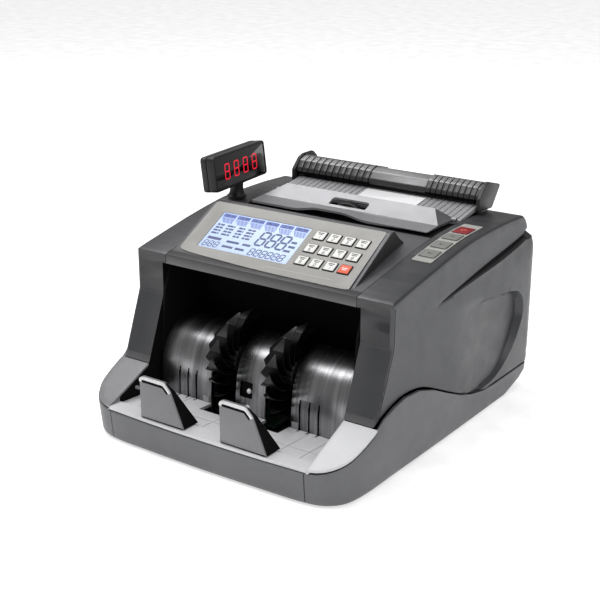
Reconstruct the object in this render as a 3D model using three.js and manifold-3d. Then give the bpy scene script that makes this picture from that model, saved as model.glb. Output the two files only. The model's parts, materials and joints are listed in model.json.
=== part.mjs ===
// Banknote counting machine, desktop model with an external display.
// Millimetres. +Z is up, the front (where the counted notes come out) faces -Y, +X is the user's right.
// The origin is the bottom centre of the machine's box, on the plane that the feet stand on.
// A profile is a list of [y, z] points seen from the side, a plan a list of [x, y] points seen from above,
// and a section a list of [x, z] points seen from the front.
import * as THREE from "three";
import { mergeVertices } from "three/addons/utils/BufferGeometryUtils.js";
import Module from "manifold-3d";

const wasm = await Module();
wasm.setup();

// ---- driving dimensions ----
const DEPTH = 284;
const HALF_DEPTH = DEPTH / 2;
const HALF_WIDTH = 118;
const WALL = 2.6;
const SEAM = 0.4;
const FIT = 0.3;
const RUNNING_FIT = 0.1;
const FOOT_HEIGHT = 3;
const CENTRE_HALF = 84;
const MOUTH_HALF = 87.4;
const MOUTH_TOP = 121;
const POST_FACE_Y = -75;
const WING_FRONT = [-139.4, 27.2];
const WING_REAR = [-94.3, 46.6];
const REAR_SEAM_Z = 20;
const BASE_TOP_LINE = [[-91, 50], [-80, 54], [-62, 58], [-43, 57], [-29, 53.4], [7, 37], [32, 27],
  [64, REAR_SEAM_Z]];
const ROOF_LINE = [[-75, 128.1], [-65, 130.2], [-27, 137.3], [2, 142.2], [31, 146], [60, 147.2], [86, 147.4]];
const REAR_LINE = [[115.5, 146], [122.4, 140.8], [128.2, 128.1], [135.8, 105.2], [138.8, 87.3], [140.6, 64],
  [139.2, 33.4], [136.6, REAR_SEAM_Z]];
const CHEEK_LINE = [[-18, 110.4], [0, 112.8], [30, 116.5], [61, 120.2], [94, 124.4], [114, 127.4],
  [124, 129.6]];
const CRESCENT = [[92, 92.2], [104, 89], [113, 81.5], [115.4, 68], [111, 56.2], [102.5, 42.7], [91.3, 32.3],
  [76.7, 25.4], [55.5, 23.2]];

const PANEL_ORIGIN = [0, -25.4, 151.7];
const PANEL_TILT = THREE.MathUtils.degToRad(28.4);
const PANEL_SHEET = 0.7;
const CHIN = { front: -71, fold: -65.27, rear: -15.6 };
const LCD = { x0: -66.6, x1: 13.9, v0: -38, v1: 0, depth: 2.2 };
const KEY = { width: 9.6, length: 8.8, height: 4, proud: 0.9 };
const KEY_COLUMNS = [24.2, 36.5, 48.5, 60.5];
const KEY_ROWS = [-5.6, -19, -31.8];
const SIDE_KEY = { x: 97.8, width: 12, length: 11, height: 4, proud: 0.7 };
const SIDE_KEY_YS = [-2, 14.5, 31];
const SIDE_RED = { y: 47.3, length: 14 };
const SIDE_SHEET = { x0: 90, x1: 105.6, y0: -14.5, y1: 63.5, thick: 0.5 };

const SHAFT_R = 3;
const STACKER_AXIS = [-69, 58];
const IMPELLER = { x: 25, width: 18, radius: 38, hub: 11, fins: 16, phase: 0.16, slot: 21 };
const FEED_AXIS = [60, 128];
const DRIVE_AXIS = [8, 104];
const MOTOR_AXIS = [62, 52];
const ROLLER = { x: 27, width: 10, feed: 14, drive: 15 };
const PULLEY = { x: -79, width: 6, drive: 14, motor: 9, stub: 2.4 };
const MOTOR = { radius: 22, x0: -74.8, x1: -16, boss: 8, nose: 6 };
const BELT = { width: 5, thick: 1.6 };
const PLATE = { inner: 84.7, thick: 2 };

const HOOD_HALF = 80;
const HOOD_HINGE = [64, 149.4];
const KNOB = { x: -2, y: 47.5, radius: 17, width: 7, top: 154.2, teeth: 24, notch: 0.8 };
const BAR_HALF = 88;
const BAR_PIVOT = [111, 150.4];
const BAR_PIN_R = 2;
const DISPLAY = { post: [-99.5, 31], face: [-94, 30.5, 173.3], yaw: 96.1, lean: 6.8, width: 77, height: 28,
  depth: 12.5 };
const STOP = { width: 40, height: 32, front: -140, foot: 17, z: 27.8, lefts: [-56, 16], track: 3 };
const GUIDE = { thick: 2.2, slit: 1.4, leftSlits: [-66, -58, -50], rightSlits: [44, 52, 60] };

// ---- solids and placing ----
const solidOf = (geometry) => {
  const bare = geometry.clone();
  bare.deleteAttribute("normal");
  bare.deleteAttribute("uv");
  const welded = mergeVertices(bare, 1e-4);
  const vertProperties = new Float32Array(welded.attributes.position.array);
  const triVerts = new Uint32Array(welded.index.array);
  return new wasm.Manifold(new wasm.Mesh({ numProp: 3, vertProperties, triVerts }));
};

const geometryOf = (solid) => {
  const mesh = solid.getMesh();
  const geometry = new THREE.BufferGeometry();
  geometry.setAttribute("position", new THREE.BufferAttribute(new Float32Array(mesh.vertProperties), 3));
  geometry.setIndex(new THREE.BufferAttribute(new Uint32Array(mesh.triVerts), 1));
  geometry.computeVertexNormals();
  return geometry;
};

const extrude = (points, depth) => {
  const shape = new THREE.Shape(points.map(([a, b]) => new THREE.Vector2(a, b)));
  return new THREE.ExtrudeGeometry(shape, { depth, bevelEnabled: false });
};

const basis = (x, y, z) => new THREE.Matrix4().makeBasis(
  new THREE.Vector3(...x), new THREE.Vector3(...y), new THREE.Vector3(...z));

// A side profile carried along X, a section carried along Y, and a plan carried along Z.
const alongX = (profile, x0, x1) => solidOf(
  extrude(profile, x1 - x0).applyMatrix4(basis([0, 1, 0], [0, 0, 1], [1, 0, 0])).translate(x0, 0, 0));
const alongY = (section, y0, y1) => solidOf(
  extrude(section, y1 - y0).applyMatrix4(basis([1, 0, 0], [0, 0, 1], [0, -1, 0])).translate(0, y1, 0));
const alongZ = (plan, z0, z1) => solidOf(extrude(plan, z1 - z0).translate(0, 0, z0));
const block = ([x0, x1], [y0, y1], [z0, z1]) => solidOf(
  new THREE.BoxGeometry(x1 - x0, y1 - y0, z1 - z0).translate((x0 + x1) / 2, (y0 + y1) / 2, (z0 + z1) / 2));
const rodX = (radius, x0, x1, [y, z], sides = 24) => solidOf(
  new THREE.CylinderGeometry(radius, radius, x1 - x0, sides).rotateZ(Math.PI / 2)
    .translate((x0 + x1) / 2, y, z));
const rodZ = (radius, z0, z1, [x, y], sides = 24) => solidOf(
  new THREE.CylinderGeometry(radius, radius, z1 - z0, sides).rotateX(Math.PI / 2)
    .translate(x, y, (z0 + z1) / 2));
const joined = (solids) => solids.reduce((whole, solid) => whole.add(solid));

// A profile moved inwards by a wall's thickness, corner by corner, for hollowing and for bands.
const inset = (points, wall, closed = true) => points.map((point, i) => {
  const last = points.length - 1;
  const before = points[i === 0 ? (closed ? last : 0) : i - 1];
  const after = points[i === last ? (closed ? 0 : last) : i + 1];
  const here = new THREE.Vector2(...point);
  const into = here.clone().sub(new THREE.Vector2(...before)).normalize();
  const out = new THREE.Vector2(...after).sub(here).normalize();
  if (into.length() === 0) into.copy(out);
  if (out.length() === 0) out.copy(into);
  const normal = new THREE.Vector2(into.y + out.y, -into.x - out.x).normalize();
  const cosine = Math.max(0.35, normal.dot(new THREE.Vector2(into.y, -into.x)));
  return [here.x + normal.x * wall / cosine, here.y + normal.y * wall / cosine];
});

// A strip of even thickness that follows an open line, on the line's right-hand side.
const band = (line, thick) => [...line, ...inset(line, thick, false).reverse()];

const roofZ = (y) => {
  const i = Math.max(1, ROOF_LINE.findIndex(([yy]) => yy >= y));
  const [[ya, za], [yb, zb]] = [ROOF_LINE[i - 1], ROOF_LINE[i]];
  return za + (zb - za) * (y - ya) / (yb - ya);
};
const roofSlope = (y) => Math.atan2(roofZ(y + 4) - roofZ(y - 4), 8);
const roofBetween = (y0, y1) => [
  [y0, roofZ(y0)],
  ...ROOF_LINE.filter(([y]) => y > y0 && y < y1),
  [y1, roofZ(y1)],
];
const raised = (line, dz) => line.map(([y, z]) => [y, z + dz]);
const mirrored = (solid) => {
  const mesh = solid.getMesh();
  const vertProperties = mesh.vertProperties.map((value, i) => (i % 3 === 0 ? -value : value));
  const triVerts = new Uint32Array(mesh.triVerts);
  for (let i = 0; i < triVerts.length; i += 3) {
    [triVerts[i], triVerts[i + 1]] = [triVerts[i + 1], triVerts[i]];
  }
  return new wasm.Manifold(new wasm.Mesh({ numProp: 3, vertProperties, triVerts }));
};

// The console's sloping frame: u runs along X, v up the slope, w out of the face.
const PANEL_MATRIX = new THREE.Matrix4().makeRotationX(PANEL_TILT).setPosition(...PANEL_ORIGIN);
const onPanel = (geometry) => solidOf(geometry.applyMatrix4(PANEL_MATRIX));
const panelBlock = ([u0, u1], [v0, v1], [w0, w1]) => onPanel(
  new THREE.BoxGeometry(u1 - u0, v1 - v0, w1 - w0).translate((u0 + u1) / 2, (v0 + v1) / 2, (w0 + w1) / 2));
const onRoof = (geometry, x, y) => solidOf(geometry.rotateX(roofSlope(y)).translate(x, y, roofZ(y)));

// ---- the outer shape that every shell is cut from ----
const PLAN = (() => {
  const side = [[88, -139.2], [101, -134.6], [110.5, -124.5], [114.6, -108], [115.6, -60], [117, 20],
    [HALF_WIDTH, 92], [HALF_WIDTH, 124], [114.6, 134], [105, 140.6]];
  const other = side.map(([x, y]) => [-x, y]).reverse();
  return [[0, -HALF_DEPTH], [46, -141.2], ...side, [80, 141.4], [-80, 141.4], ...other, [-46, -141.2]];
})();
const SECTION = (() => {
  const side = [[104, FOOT_HEIGHT], [109.5, 5], [112.4, 9.5], [114.8, 27], [117, 46], [HALF_WIDTH, 64],
    [HALF_WIDTH, 112], [113.4, 152]];
  return [...side, ...side.map(([x, z]) => [-x, z]).reverse()];
})();
// The side covers are narrower than the base at the front and swell to the full width at the cheeks.
const COVER_PLAN = [[80, -96], [112.4, -96], [113.2, -20], [115.4, 40], [HALF_WIDTH, 100], [HALF_WIDTH, 124],
  [114.6, 134], [105, 140.6], [80, 141.4]];
const COVER_INSIDE_X = 109.8;
const scaled = (points, inward) => points.map(([x, other]) => [x - Math.sign(x) * inward, other]);
const envelope = (inward) => alongZ(inward ? inset(PLAN, -inward) : PLAN, -1, 190)
  .intersect(alongY(scaled(SECTION, inward), -150, 150));

// ---- lower housing and note tray ----
const lowerHousing = () => {
  const profile = [
    [-137.8, FOOT_HEIGHT], [100, FOOT_HEIGHT], [124, 10], [133, 14], [136.4, REAR_SEAM_Z - SEAM],
    ...[...BASE_TOP_LINE].reverse().map(([y, z]) => [y, z - SEAM]),
    [-94.3, 44], [-139.4, 24.6], [-142, 24.6],
  ];
  const hollow = [[-134.6, 6], [99, 6], [122, 12.8], [130.8, 17], [132, 80], [-134.6, 80]];
  const outer = alongX(profile, -HALF_WIDTH - 1, HALF_WIDTH + 1).intersect(envelope(0));
  const inner = alongX(hollow, -130, 130).intersect(envelope(WALL));
  const lipSeat = block([-MOUTH_HALF - 2.4, MOUTH_HALF + 2.4], [-145, -90], [24.9, 60]);
  const cradle = block([-62, -26], [46, 78], [5, 29.6]);
  const standoffs = [[-64, -62], [4, -62], [-64, -12], [4, -12], [20, 48], [70, 48], [20, 96], [70, 96]]
    .map((place) => rodZ(3, 5, 8.8, place, 8));
  return joined([outer.subtract(inner).subtract(lipSeat), cradle, ...standoffs]);
};

const noteTray = () => {
  const skin = band([WING_FRONT, WING_REAR], 2);
  const nose = [[-142, 25.2], [-142, 27.2], WING_FRONT, skin[3]];
  const wings = alongX(skin, -HALF_WIDTH, HALF_WIDTH).add(alongX(nose, -HALF_WIDTH, HALF_WIDTH));
  const wallProfile = [[-139.2, 25.2], [-134, 25.2], [-127, 21], [-94.8, 21], [-94.8, 44], [-139, 26]];
  const centre = [[-142, 25.2], [-127.4, 25.2], [-126.6, 23.8], [-84.6, 21.4], [-84.6, 23.6], [-126.2, 26],
    [-127, 27.5], [-142, 27.5]];
  const trim = envelope(0.8);
  const pocket = alongX([[-145, 27.6], [-90, 27.6], [-90, 60], [-145, 60]], -MOUTH_HALF, MOUTH_HALF);
  let tray = wings.intersect(trim)
    .subtract(pocket)
    .subtract(alongX([[-94.8, 10], [-80, 10], [-80, 60], [-94.8, 60]], -HALF_WIDTH, HALF_WIDTH))
    .subtract(alongX([[-127.4, 10], [-80, 10], [-80, 60], [-127.4, 60]], -MOUTH_HALF, MOUTH_HALF));
  for (const x of [-MOUTH_HALF - 2, MOUTH_HALF]) tray = tray.add(alongX(wallProfile, x, x + 2));
  tray = tray.add(alongX(centre, -MOUTH_HALF - 1, MOUTH_HALF + 1).intersect(trim));
  for (const x of [-IMPELLER.x, IMPELLER.x]) {
    tray = tray.subtract(block([x - IMPELLER.slot / 2, x + IMPELLER.slot / 2], [-99, -80], [10, 40]));
  }
  for (const left of STOP.lefts) {
    const x = left + STOP.width / 2;
    tray = tray.subtract(block([x - STOP.track / 2, x + STOP.track / 2], [-134.3, -115], [10, 40]));
  }
  return tray;
};

const noteStop = (left) => {
  const { width, height, front, foot, z } = STOP;
  const side = [[front, z], [front + foot, z], [front + 4.2, z + height - 2], [front + 2.4, z + height],
    [front + 0.8, z + height - 0.6], [front + 0.6, z + height - 2]];
  const face = [[left, z - 1], [left + width, z - 1], [left + 28.5, z + 27], [left + 25, z + 31],
    [left + 21, z + height + 1], [left + 3, z + height + 1], [left, z + height - 3]];
  const x = left + width / 2;
  const tongue = block([x - 1.2, x + 1.2], [front + 6, front + 12.6], [23.4, z + 2]);
  return alongX(side, left - 1, left + width + 1).intersect(alongY(face, -150, -110)).add(tongue);
};

// ---- side covers ----
const sideCover = () => {
  const seam = raised(BASE_TOP_LINE, SEAM / 2).reverse();
  const foot = [WING_REAR[0], WING_REAR[1] + SEAM];
  const outline = [...seam, foot, [POST_FACE_Y, 96.6], ...ROOF_LINE, ...REAR_LINE];
  const outer = alongX(outline, CENTRE_HALF + SEAM / 2, HALF_WIDTH + 1).intersect(envelope(0))
    .intersect(alongZ(COVER_PLAN, 0, 190));
  const open = [[-88, 0], [-88, 50], [POST_FACE_Y, 96.6], ...ROOF_LINE, ...REAR_LINE, [136, 0]];
  const within = inset(open, WALL);
  const inner = alongX(within, CENTRE_HALF - 4, COVER_INSIDE_X);
  const mouth = block([CENTRE_HALF - 4, MOUTH_HALF], [-110, -30], [20, MOUTH_TOP]);
  const wallProfile = [[-93.6, 49], [-60, 59], [-44, 59], [-44, 130], [-72, 127], [-73, 96.6]];
  const wall = alongX(wallProfile, MOUTH_HALF, MOUTH_HALF + 2).intersect(outer);
  const roofSide = alongX([...CHEEK_LINE, [150, 132], [150, 170], [-18, 170]], 113.2, 130);
  const recess = [...[...CRESCENT].reverse(), [40, 99], [26, 101.4], [-20, 95], [-20, 52], [20, 36]];
  const recessPlan = [[122, -20], [113.3, -20], [113, 60], [112.6, 116], [122, 116]];
  const panel = alongX(recess, 100, 130).intersect(alongZ(recessPlan, 0, 150));
  return outer.subtract(inner).subtract(mouth).add(wall).subtract(roofSide).subtract(panel);
};

const withSideKeyHoles = (solid) => {
  const holes = [...SIDE_KEY_YS.map((y) => [y, SIDE_KEY.length]), [SIDE_RED.y, SIDE_RED.length]];
  return holes.reduce((rest, [y, length]) => {
    const hole = new THREE.BoxGeometry(SIDE_KEY.width + 2 * FIT, length + 2 * FIT, 20);
    return rest.subtract(onRoof(hole, SIDE_KEY.x, y));
  }, solid);
};
const rightSideCover = () => withSideKeyHoles(sideCover());

const sideOverlay = () => {
  const { x0, x1, y0, y1, thick } = SIDE_SHEET;
  const line = raised(roofBetween(y0, y1), 0.1);
  return withSideKeyHoles(alongX([...line, ...raised(line, thick).reverse()], x0, x1));
};

// A key cap is a block with a slightly smaller top face.
const keyCap = (width, length, height, proud) => {
  const cap = new THREE.BoxGeometry(width, length, height).translate(0, 0, proud - height / 2);
  const place = cap.attributes.position;
  for (let i = 0; i < place.count; i += 1) {
    if (place.getZ(i) > 0) place.setXY(i, place.getX(i) * 0.93, place.getY(i) * 0.93);
  }
  return cap;
};
const consoleKey = (column, row) => onPanel(
  keyCap(KEY.width, KEY.length, KEY.height, KEY.proud + PANEL_SHEET).translate(column, row, 0));
const sideKey = (y, length) => onRoof(
  keyCap(SIDE_KEY.width, length, SIDE_KEY.height, SIDE_KEY.proud + SIDE_SHEET.thick), SIDE_KEY.x, y);

// ---- top cover with the console ----
const withPanelHoles = (solid) => {
  let rest = solid.subtract(panelBlock([LCD.x0 - FIT, LCD.x1 + FIT], [LCD.v0 - FIT, LCD.v1 + FIT], [-8, 4]));
  for (const column of KEY_COLUMNS) {
    for (const row of KEY_ROWS) {
      const u = [column - KEY.width / 2 - FIT, column + KEY.width / 2 + FIT];
      const v = [row - KEY.length / 2 - FIT, row + KEY.length / 2 + FIT];
      rest = rest.subtract(panelBlock(u, v, [-8, 4]));
    }
  }
  return rest;
};
const topCover = () => {
  const x1 = CENTRE_HALF - SEAM / 2;
  const roof = alongX(band(roofBetween(POST_FACE_Y, 62), WALL), -x1, x1);
  const header = block([-x1, x1], [POST_FACE_Y, -71.4], [MOUTH_TOP, ROOF_LINE[0][1]]);
  const wedgeProfile = [[-66.4, 127.6], [-66.4, 129.5], [-16.6, 156.5], [-13.5, 157.1], [-9, 156.4],
    [9, 143.2], [9, 140.6]];
  const wedge = alongX(wedgeProfile, -83.4, 76);
  const leanWall = alongY([[-90, 120], [77, 120], [74.2, 170], [-90, 170]], -80, 20);
  const hollow = [[-62, 120], [-62, 129], [-17.4, 153.2], [-14.5, 153.8], [-10.6, 153.6], [4, 142.4],
    [4, 120]];
  const within = alongX(hollow, -80.8, 71.4);
  const rollerBay = block([-60, 60], [27.6, 58], [130, 160]);
  const hoodSeat = block([-CENTRE_HALF, CENTRE_HALF], [24, 70], [146.4, 160]);
  const scoopBody = block([-22, 22], [9.5, 26], [138, 143.1]);
  const scoop = block([-20, 20], [8, 24], [140.4, 160]);
  return withPanelHoles(joined([roof, header, wedge.intersect(leanWall)]).subtract(within)
    .subtract(rollerBay).subtract(hoodSeat).add(scoopBody).subtract(scoop));
};

const panelZ = (y) => PANEL_ORIGIN[2] + (y - PANEL_ORIGIN[1]) * Math.tan(PANEL_TILT);
// The membrane lies on the console's slope, and its chin bends down onto the roof in front of it.
const panelOverlay = () => {
  const slope = [CHIN.fold, CHIN.rear].map((y) => [y, panelZ(y)]);
  const line = [[CHIN.front, roofZ(CHIN.front)], ...slope];
  const sheet = alongX([...raised(line, 0.12), ...raised(line, PANEL_SHEET + 0.08).reverse()], -81, 74);
  const edge = [[-80.6, -46.8], [-76, -48.2], [-40, -49.4], [0, -50], [40, -50], [70, -49.6], [73.6, -48.6],
    [72.4, -41.6], [71.4, 9], [70, 10.2], [-78.4, 9.6], [-80, 8.4], [-80, -41]];
  return withPanelHoles(sheet.intersect(onPanel(extrude(edge, 12).translate(0, 0, -4))));
};
const lcdWindow = () => panelBlock([LCD.x0, LCD.x1], [LCD.v0, LCD.v1],
  [PANEL_SHEET - LCD.depth, PANEL_SHEET - 0.1]);

// ---- hood, hopper ramp and hopper back ----
const hood = () => {
  const outer = [[25, 146.8], [59, 146.8], [67.2, 146.8], [67.2, 149], [59.6, 157], [57.4, 157.5],
    [41, 149.8], [25, 148.6]];
  const under = [[27.6, 145], [27.6, 146.9], [41, 147.4], [57.6, 154.9], [64.8, 147.8], [64.8, 145]];
  const hips = [[-HOOD_HALF, 140], [HOOD_HALF, 140], [HOOD_HALF, 147.6], [68, 158], [-68, 158],
    [-HOOD_HALF, 147.6]];
  const hipped = alongY(hips, 41, 90);
  const brim = block([-HOOD_HALF, HOOD_HALF], [20, 41], [140, 160]);
  const slot = block([KNOB.x - 18, KNOB.x + 18], [KNOB.y - 4.2, KNOB.y + 4.2], [140, 170]);
  const shell = alongX(outer, -HOOD_HALF, HOOD_HALF).intersect(hipped.add(brim))
    .subtract(alongX(under, -66, 66)).subtract(slot);
  const pins = [[-83.2, -70], [70, 83.2]].map(([x0, x1]) => rodX(1.6, x0, x1, HOOD_HINGE, 12));
  return joined([shell, ...pins]);
};

const gapAdjustKnob = () => {
  const outline = [];
  for (let i = 0; i < KNOB.teeth * 2; i += 1) {
    const reach = i % 2 ? KNOB.radius : KNOB.radius - KNOB.notch;
    const angle = i * Math.PI / KNOB.teeth;
    outline.push([KNOB.x + reach * Math.cos(angle), KNOB.top - KNOB.radius + reach * Math.sin(angle)]);
  }
  return alongY(outline, KNOB.y - KNOB.width / 2, KNOB.y + KNOB.width / 2);
};

const RAMP_LINE = [[68.6, 148.3], [97, 153.6], [101, 152], [106, 147.7], [114.4, 146.6]];
const hopperRamp = () => {
  const half = CENTRE_HALF - SEAM / 2;
  const under = [[112.6, 144.6], [105, 145], [97, 150.2], [71, 145.6], [71, 140.4]];
  const plate = alongX([[68.6, 140.4], ...RAMP_LINE, ...under], -half, half);
  const lug = (x0, x1) => block([x0, x1], [107.2, 114.8], [146.9, 153.4])
    .subtract(rodX(BAR_PIN_R + RUNNING_FIT + 0.04, x0 - 1, x1 + 1, BAR_PIVOT, 32));
  const bed = alongX([[75, 149.4], [93, 152.8], [93, 156], [75, 156]], -14.3, 40.3);
  return joined([plate, lug(-half, -80.6), lug(80.6, half)]).subtract(bed);
};
const hopperCenterPlate = () => alongX([[75.3, 149.8], [92.7, 153.1], [92.7, 153.6], [75.3, 150.3]], -14, 40);

const hopperBack = () => {
  const cap = [[91, 150.2], [112.4, 148.7], [125.5, 165.6], [105.5, 171.2], [99.6, 169.4], [91, 160]];
  const barProfile = [[95.4, 155.4], [108, 156], [117.5, 157.6], [124, 165.4], [105.8, 170.2], [98.6, 167.4],
    [93.6, 161.4], [93.2, 157.4]];
  const bar = alongX(barProfile, -85, 85);
  const recess = alongX([[90, 168.6], [104.8, 168.6], [126, 163.6], [130, 175], [90, 175]], -12.6, 38);
  const pieces = [bar.subtract(recess)];
  for (const x of [-BAR_HALF, CENTRE_HALF + SEAM]) {
    pieces.push(alongX(cap, x, x + BAR_HALF - CENTRE_HALF - SEAM));
  }
  const pins = [[-85, -80.9], [80.9, 85]].map(([x0, x1]) => rodX(BAR_PIN_R, x0, x1, BAR_PIVOT, 24));
  return joined([...pieces, ...pins]);
};

// ---- external display ----
const DISPLAY_MATRIX = new THREE.Matrix4().makeRotationZ(THREE.MathUtils.degToRad(DISPLAY.yaw))
  .multiply(new THREE.Matrix4().makeRotationX(THREE.MathUtils.degToRad(-DISPLAY.lean)))
  .setPosition(...DISPLAY.face);
// In the display's own frame the face looks along -Y, and its long side runs along X.
const displayHousing = () => {
  const { width, height, depth } = DISPLAY;
  const a = width / 2;
  const b = height / 2;
  const outline = [[-a + 3, -b], [a - 3, -b], [a, -b + 3], [a, b - 3], [a - 3, b], [-a + 3, b], [-a, b - 3],
    [-a, -b + 3]];
  const body = extrude(outline, depth).applyMatrix4(basis([1, 0, 0], [0, 0, 1], [0, -1, 0]))
    .translate(0, depth, 0).applyMatrix4(DISPLAY_MATRIX);
  const pocket = new THREE.BoxGeometry(width - 3.4, 3, height - 3.4).applyMatrix4(DISPLAY_MATRIX);
  return solidOf(body).subtract(solidOf(pocket));
};
const displayWindow = () => solidOf(new THREE.BoxGeometry(DISPLAY.width - 4, 1, DISPLAY.height - 4)
  .translate(0, 0.7, 0).applyMatrix4(DISPLAY_MATRIX));
const displayPost = () => {
  const post = rodZ(5.6, 147.6, 163, DISPLAY.post).add(rodZ(8, 147.4, 149, DISPLAY.post));
  const clear = new THREE.BoxGeometry(DISPLAY.width + 1, DISPLAY.depth + 0.6, DISPLAY.height + 0.6)
    .translate(0, DISPLAY.depth / 2, 0).applyMatrix4(DISPLAY_MATRIX);
  return post.subtract(solidOf(clear));
};

// ---- mouth: guides and impellers ----
const GUIDE_LINE = [[-84.2, 6.4], [-84.2, 34], [-83, 46], [-80.4, 56], [-76, 64.6], [-69.6, 71], [-61, 75.2],
  [-50, 77]];
const guide = (x0, x1, slits) => {
  let cover = alongX(band(GUIDE_LINE, GUIDE.thick), x0, x1);
  for (const x of slits) {
    cover = cover.subtract(block([x - GUIDE.slit / 2, x + GUIDE.slit / 2], [-90, -78], [22, 46]));
  }
  return cover;
};
const centerGuide = () => guide(-13.6, 13.6, []).subtract(block([-9.4, 1.8], [-90, -78], [36, 48]));

// Each fin trails in a spiral of [radius, angle] points: out along one face, then back along the other.
const FIN_LINE = [[IMPELLER.hub, 0], [20, -0.32], [28, -0.6], [IMPELLER.radius, -0.9],
  [IMPELLER.radius - 0.6, -0.84], [27.6, -0.49], [19.6, -0.2], [IMPELLER.hub, 0.17]];
const impeller = (x) => {
  const outline = [];
  for (let i = 0; i < IMPELLER.fins; i += 1) {
    const start = IMPELLER.phase + i * 2 * Math.PI / IMPELLER.fins;
    for (const [r, turn] of FIN_LINE) {
      const [y, z] = [r * Math.cos(start + turn), r * Math.sin(start + turn)];
      outline.push([STACKER_AXIS[0] + y, STACKER_AXIS[1] + z]);
    }
  }
  return alongX(outline, x - IMPELLER.width / 2, x + IMPELLER.width / 2)
    .subtract(rodX(SHAFT_R + RUNNING_FIT, x - IMPELLER.width, x + IMPELLER.width, STACKER_AXIS));
};

// ---- drive train ----
const shaft = (axis) => rodX(SHAFT_R, -87, 87, axis);
const pulley = (radius, axis, sides) => rodX(radius, PULLEY.x - PULLEY.width / 2, PULLEY.x + PULLEY.width / 2,
  axis, sides);
const driveShaft = () => shaft(DRIVE_AXIS).add(pulley(PULLEY.drive, DRIVE_AXIS, 28));
const roller = (axis, x, radius) => {
  const { width } = ROLLER;
  return rodX(radius, x - width / 2, x + width / 2, axis, 28)
    .subtract(rodX(SHAFT_R + RUNNING_FIT, x - width, x + width, axis));
};
const motorPulley = () => pulley(PULLEY.motor, MOTOR_AXIS, 24)
  .add(rodX(PULLEY.stub, PULLEY.x, MOTOR.x0 + 4.8, MOTOR_AXIS, 16));
const mainMotor = () => {
  const { radius, x0, x1, boss, nose } = MOTOR;
  const body = joined([rodX(radius, x0, x1, MOTOR_AXIS, 32), rodX(boss, x1, x1 + 4, MOTOR_AXIS, 20),
    rodX(nose, x0 - 0.5, x0 + 0.8, MOTOR_AXIS, 20)]);
  return body.subtract(rodX(PULLEY.stub + FIT, x0 - 1.2, x0 + 5.8, MOTOR_AXIS, 16));
};
const driveBelt = () => {
  // Two arcs joined by the pulleys' outer tangents.
  const [ya, za] = DRIVE_AXIS;
  const [yb, zb] = MOTOR_AXIS;
  const along = Math.atan2(zb - za, yb - ya);
  const spread = Math.acos((PULLEY.drive - PULLEY.motor) / Math.hypot(yb - ya, zb - za));
  const loop = (extra) => {
    const points = [];
    const arc = (y, z, r, from, to) => {
      for (let i = 0; i <= 12; i += 1) {
        const angle = from + (to - from) * i / 12;
        points.push([y + r * Math.cos(angle), z + r * Math.sin(angle)]);
      }
    };
    arc(ya, za, PULLEY.drive + extra, along + spread, along + 2 * Math.PI - spread);
    arc(yb, zb, PULLEY.motor + extra, along - spread, along + spread);
    return points;
  };
  const [x0, x1] = [PULLEY.x - BELT.width / 2, PULLEY.x + BELT.width / 2];
  return alongX(loop(0.4 + BELT.thick), x0, x1).subtract(alongX(loop(0.4), x0 - 1, x1 + 1));
};
const framePlate = (x0) => {
  const outline = [[-80, 9], [104, 9], [104, 132], [76, 136], [40, 139], [10, 134], [-40, 126], [-68, 120],
    [-76, 100], [-80, 60]];
  let plate = alongX(outline, x0, x0 + PLATE.thick);
  for (const axis of [STACKER_AXIS, FEED_AXIS, DRIVE_AXIS]) {
    plate = plate.subtract(rodX(SHAFT_R + RUNNING_FIT, x0 - 1, x0 + 3, axis, 32));
  }
  return plate.subtract(block([x0 - 1, x0 + 3], [14, 90], [20, 34]));
};

// ---- rear ----
const INLET = { x: -58, z: 46, width: 27, height: 21 };
const SWITCH = { x: -24, z: 46, width: 12, height: 18 };
const rearCover = () => {
  const flat = [[115.6, 145.7], [122.4, 140.5], [128.2, 127.9], [135.6, 105.2], [138.8, 87.3], [140.7, 68],
    [140.7, 30], [137.6, REAR_SEAM_Z + 0.2]];
  const half = CENTRE_HALF - SEAM / 2;
  let cover = alongX(band(flat, WALL), -half, half);
  cover = cover.subtract(block([INLET.x - 12.4, INLET.x + 12.4], [130, 150], [INLET.z - 9.2, INLET.z + 9.2]));
  cover = cover.subtract(block([SWITCH.x - 6.3, SWITCH.x + 6.3], [130, 150], [SWITCH.z - 10, SWITCH.z + 10]));
  for (let i = 0; i < 9; i += 1) {
    cover = cover.subtract(block([24 + i * 6, 27 + i * 6], [120, 150], [36, 92]));
  }
  return cover;
};
const powerInlet = () => {
  const { x, z, width, height } = INLET;
  const flange = block([x - width / 2, x + width / 2], [140.9, HALF_DEPTH], [z - height / 2, z + height / 2]);
  const body = block([x - 12, x + 12], [122, 141.2], [z - 8.8, z + 8.8]);
  const pocket = block([x - 9.8, x + 9.8], [126, 150], [z - 6.6, z + 6.6]);
  const pins = [-6, 0, 6].map((dx) => block([x + dx - 1, x + dx + 1], [125, 138],
    [z - 1.5 + (dx ? 0 : 2.4), z + 1.5 + (dx ? 0 : 2.4)]));
  return joined([flange.add(body).subtract(pocket), ...pins]);
};
const powerSwitch = () => {
  const { x, z, width, height } = SWITCH;
  const side = [[-6, -7.4], [0.4, -height / 2], [-0.5, 0], [0.4, height / 2], [-6, 7.4]];
  const rocker = extrude(side, width - 0.6).applyMatrix4(basis([0, 1, 0], [0, 0, 1], [1, 0, 0]));
  return solidOf(rocker.translate(-(width - 0.6) / 2, 0, 0).rotateX(THREE.MathUtils.degToRad(-7))
    .translate(x, 140.2, z));
};

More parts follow.
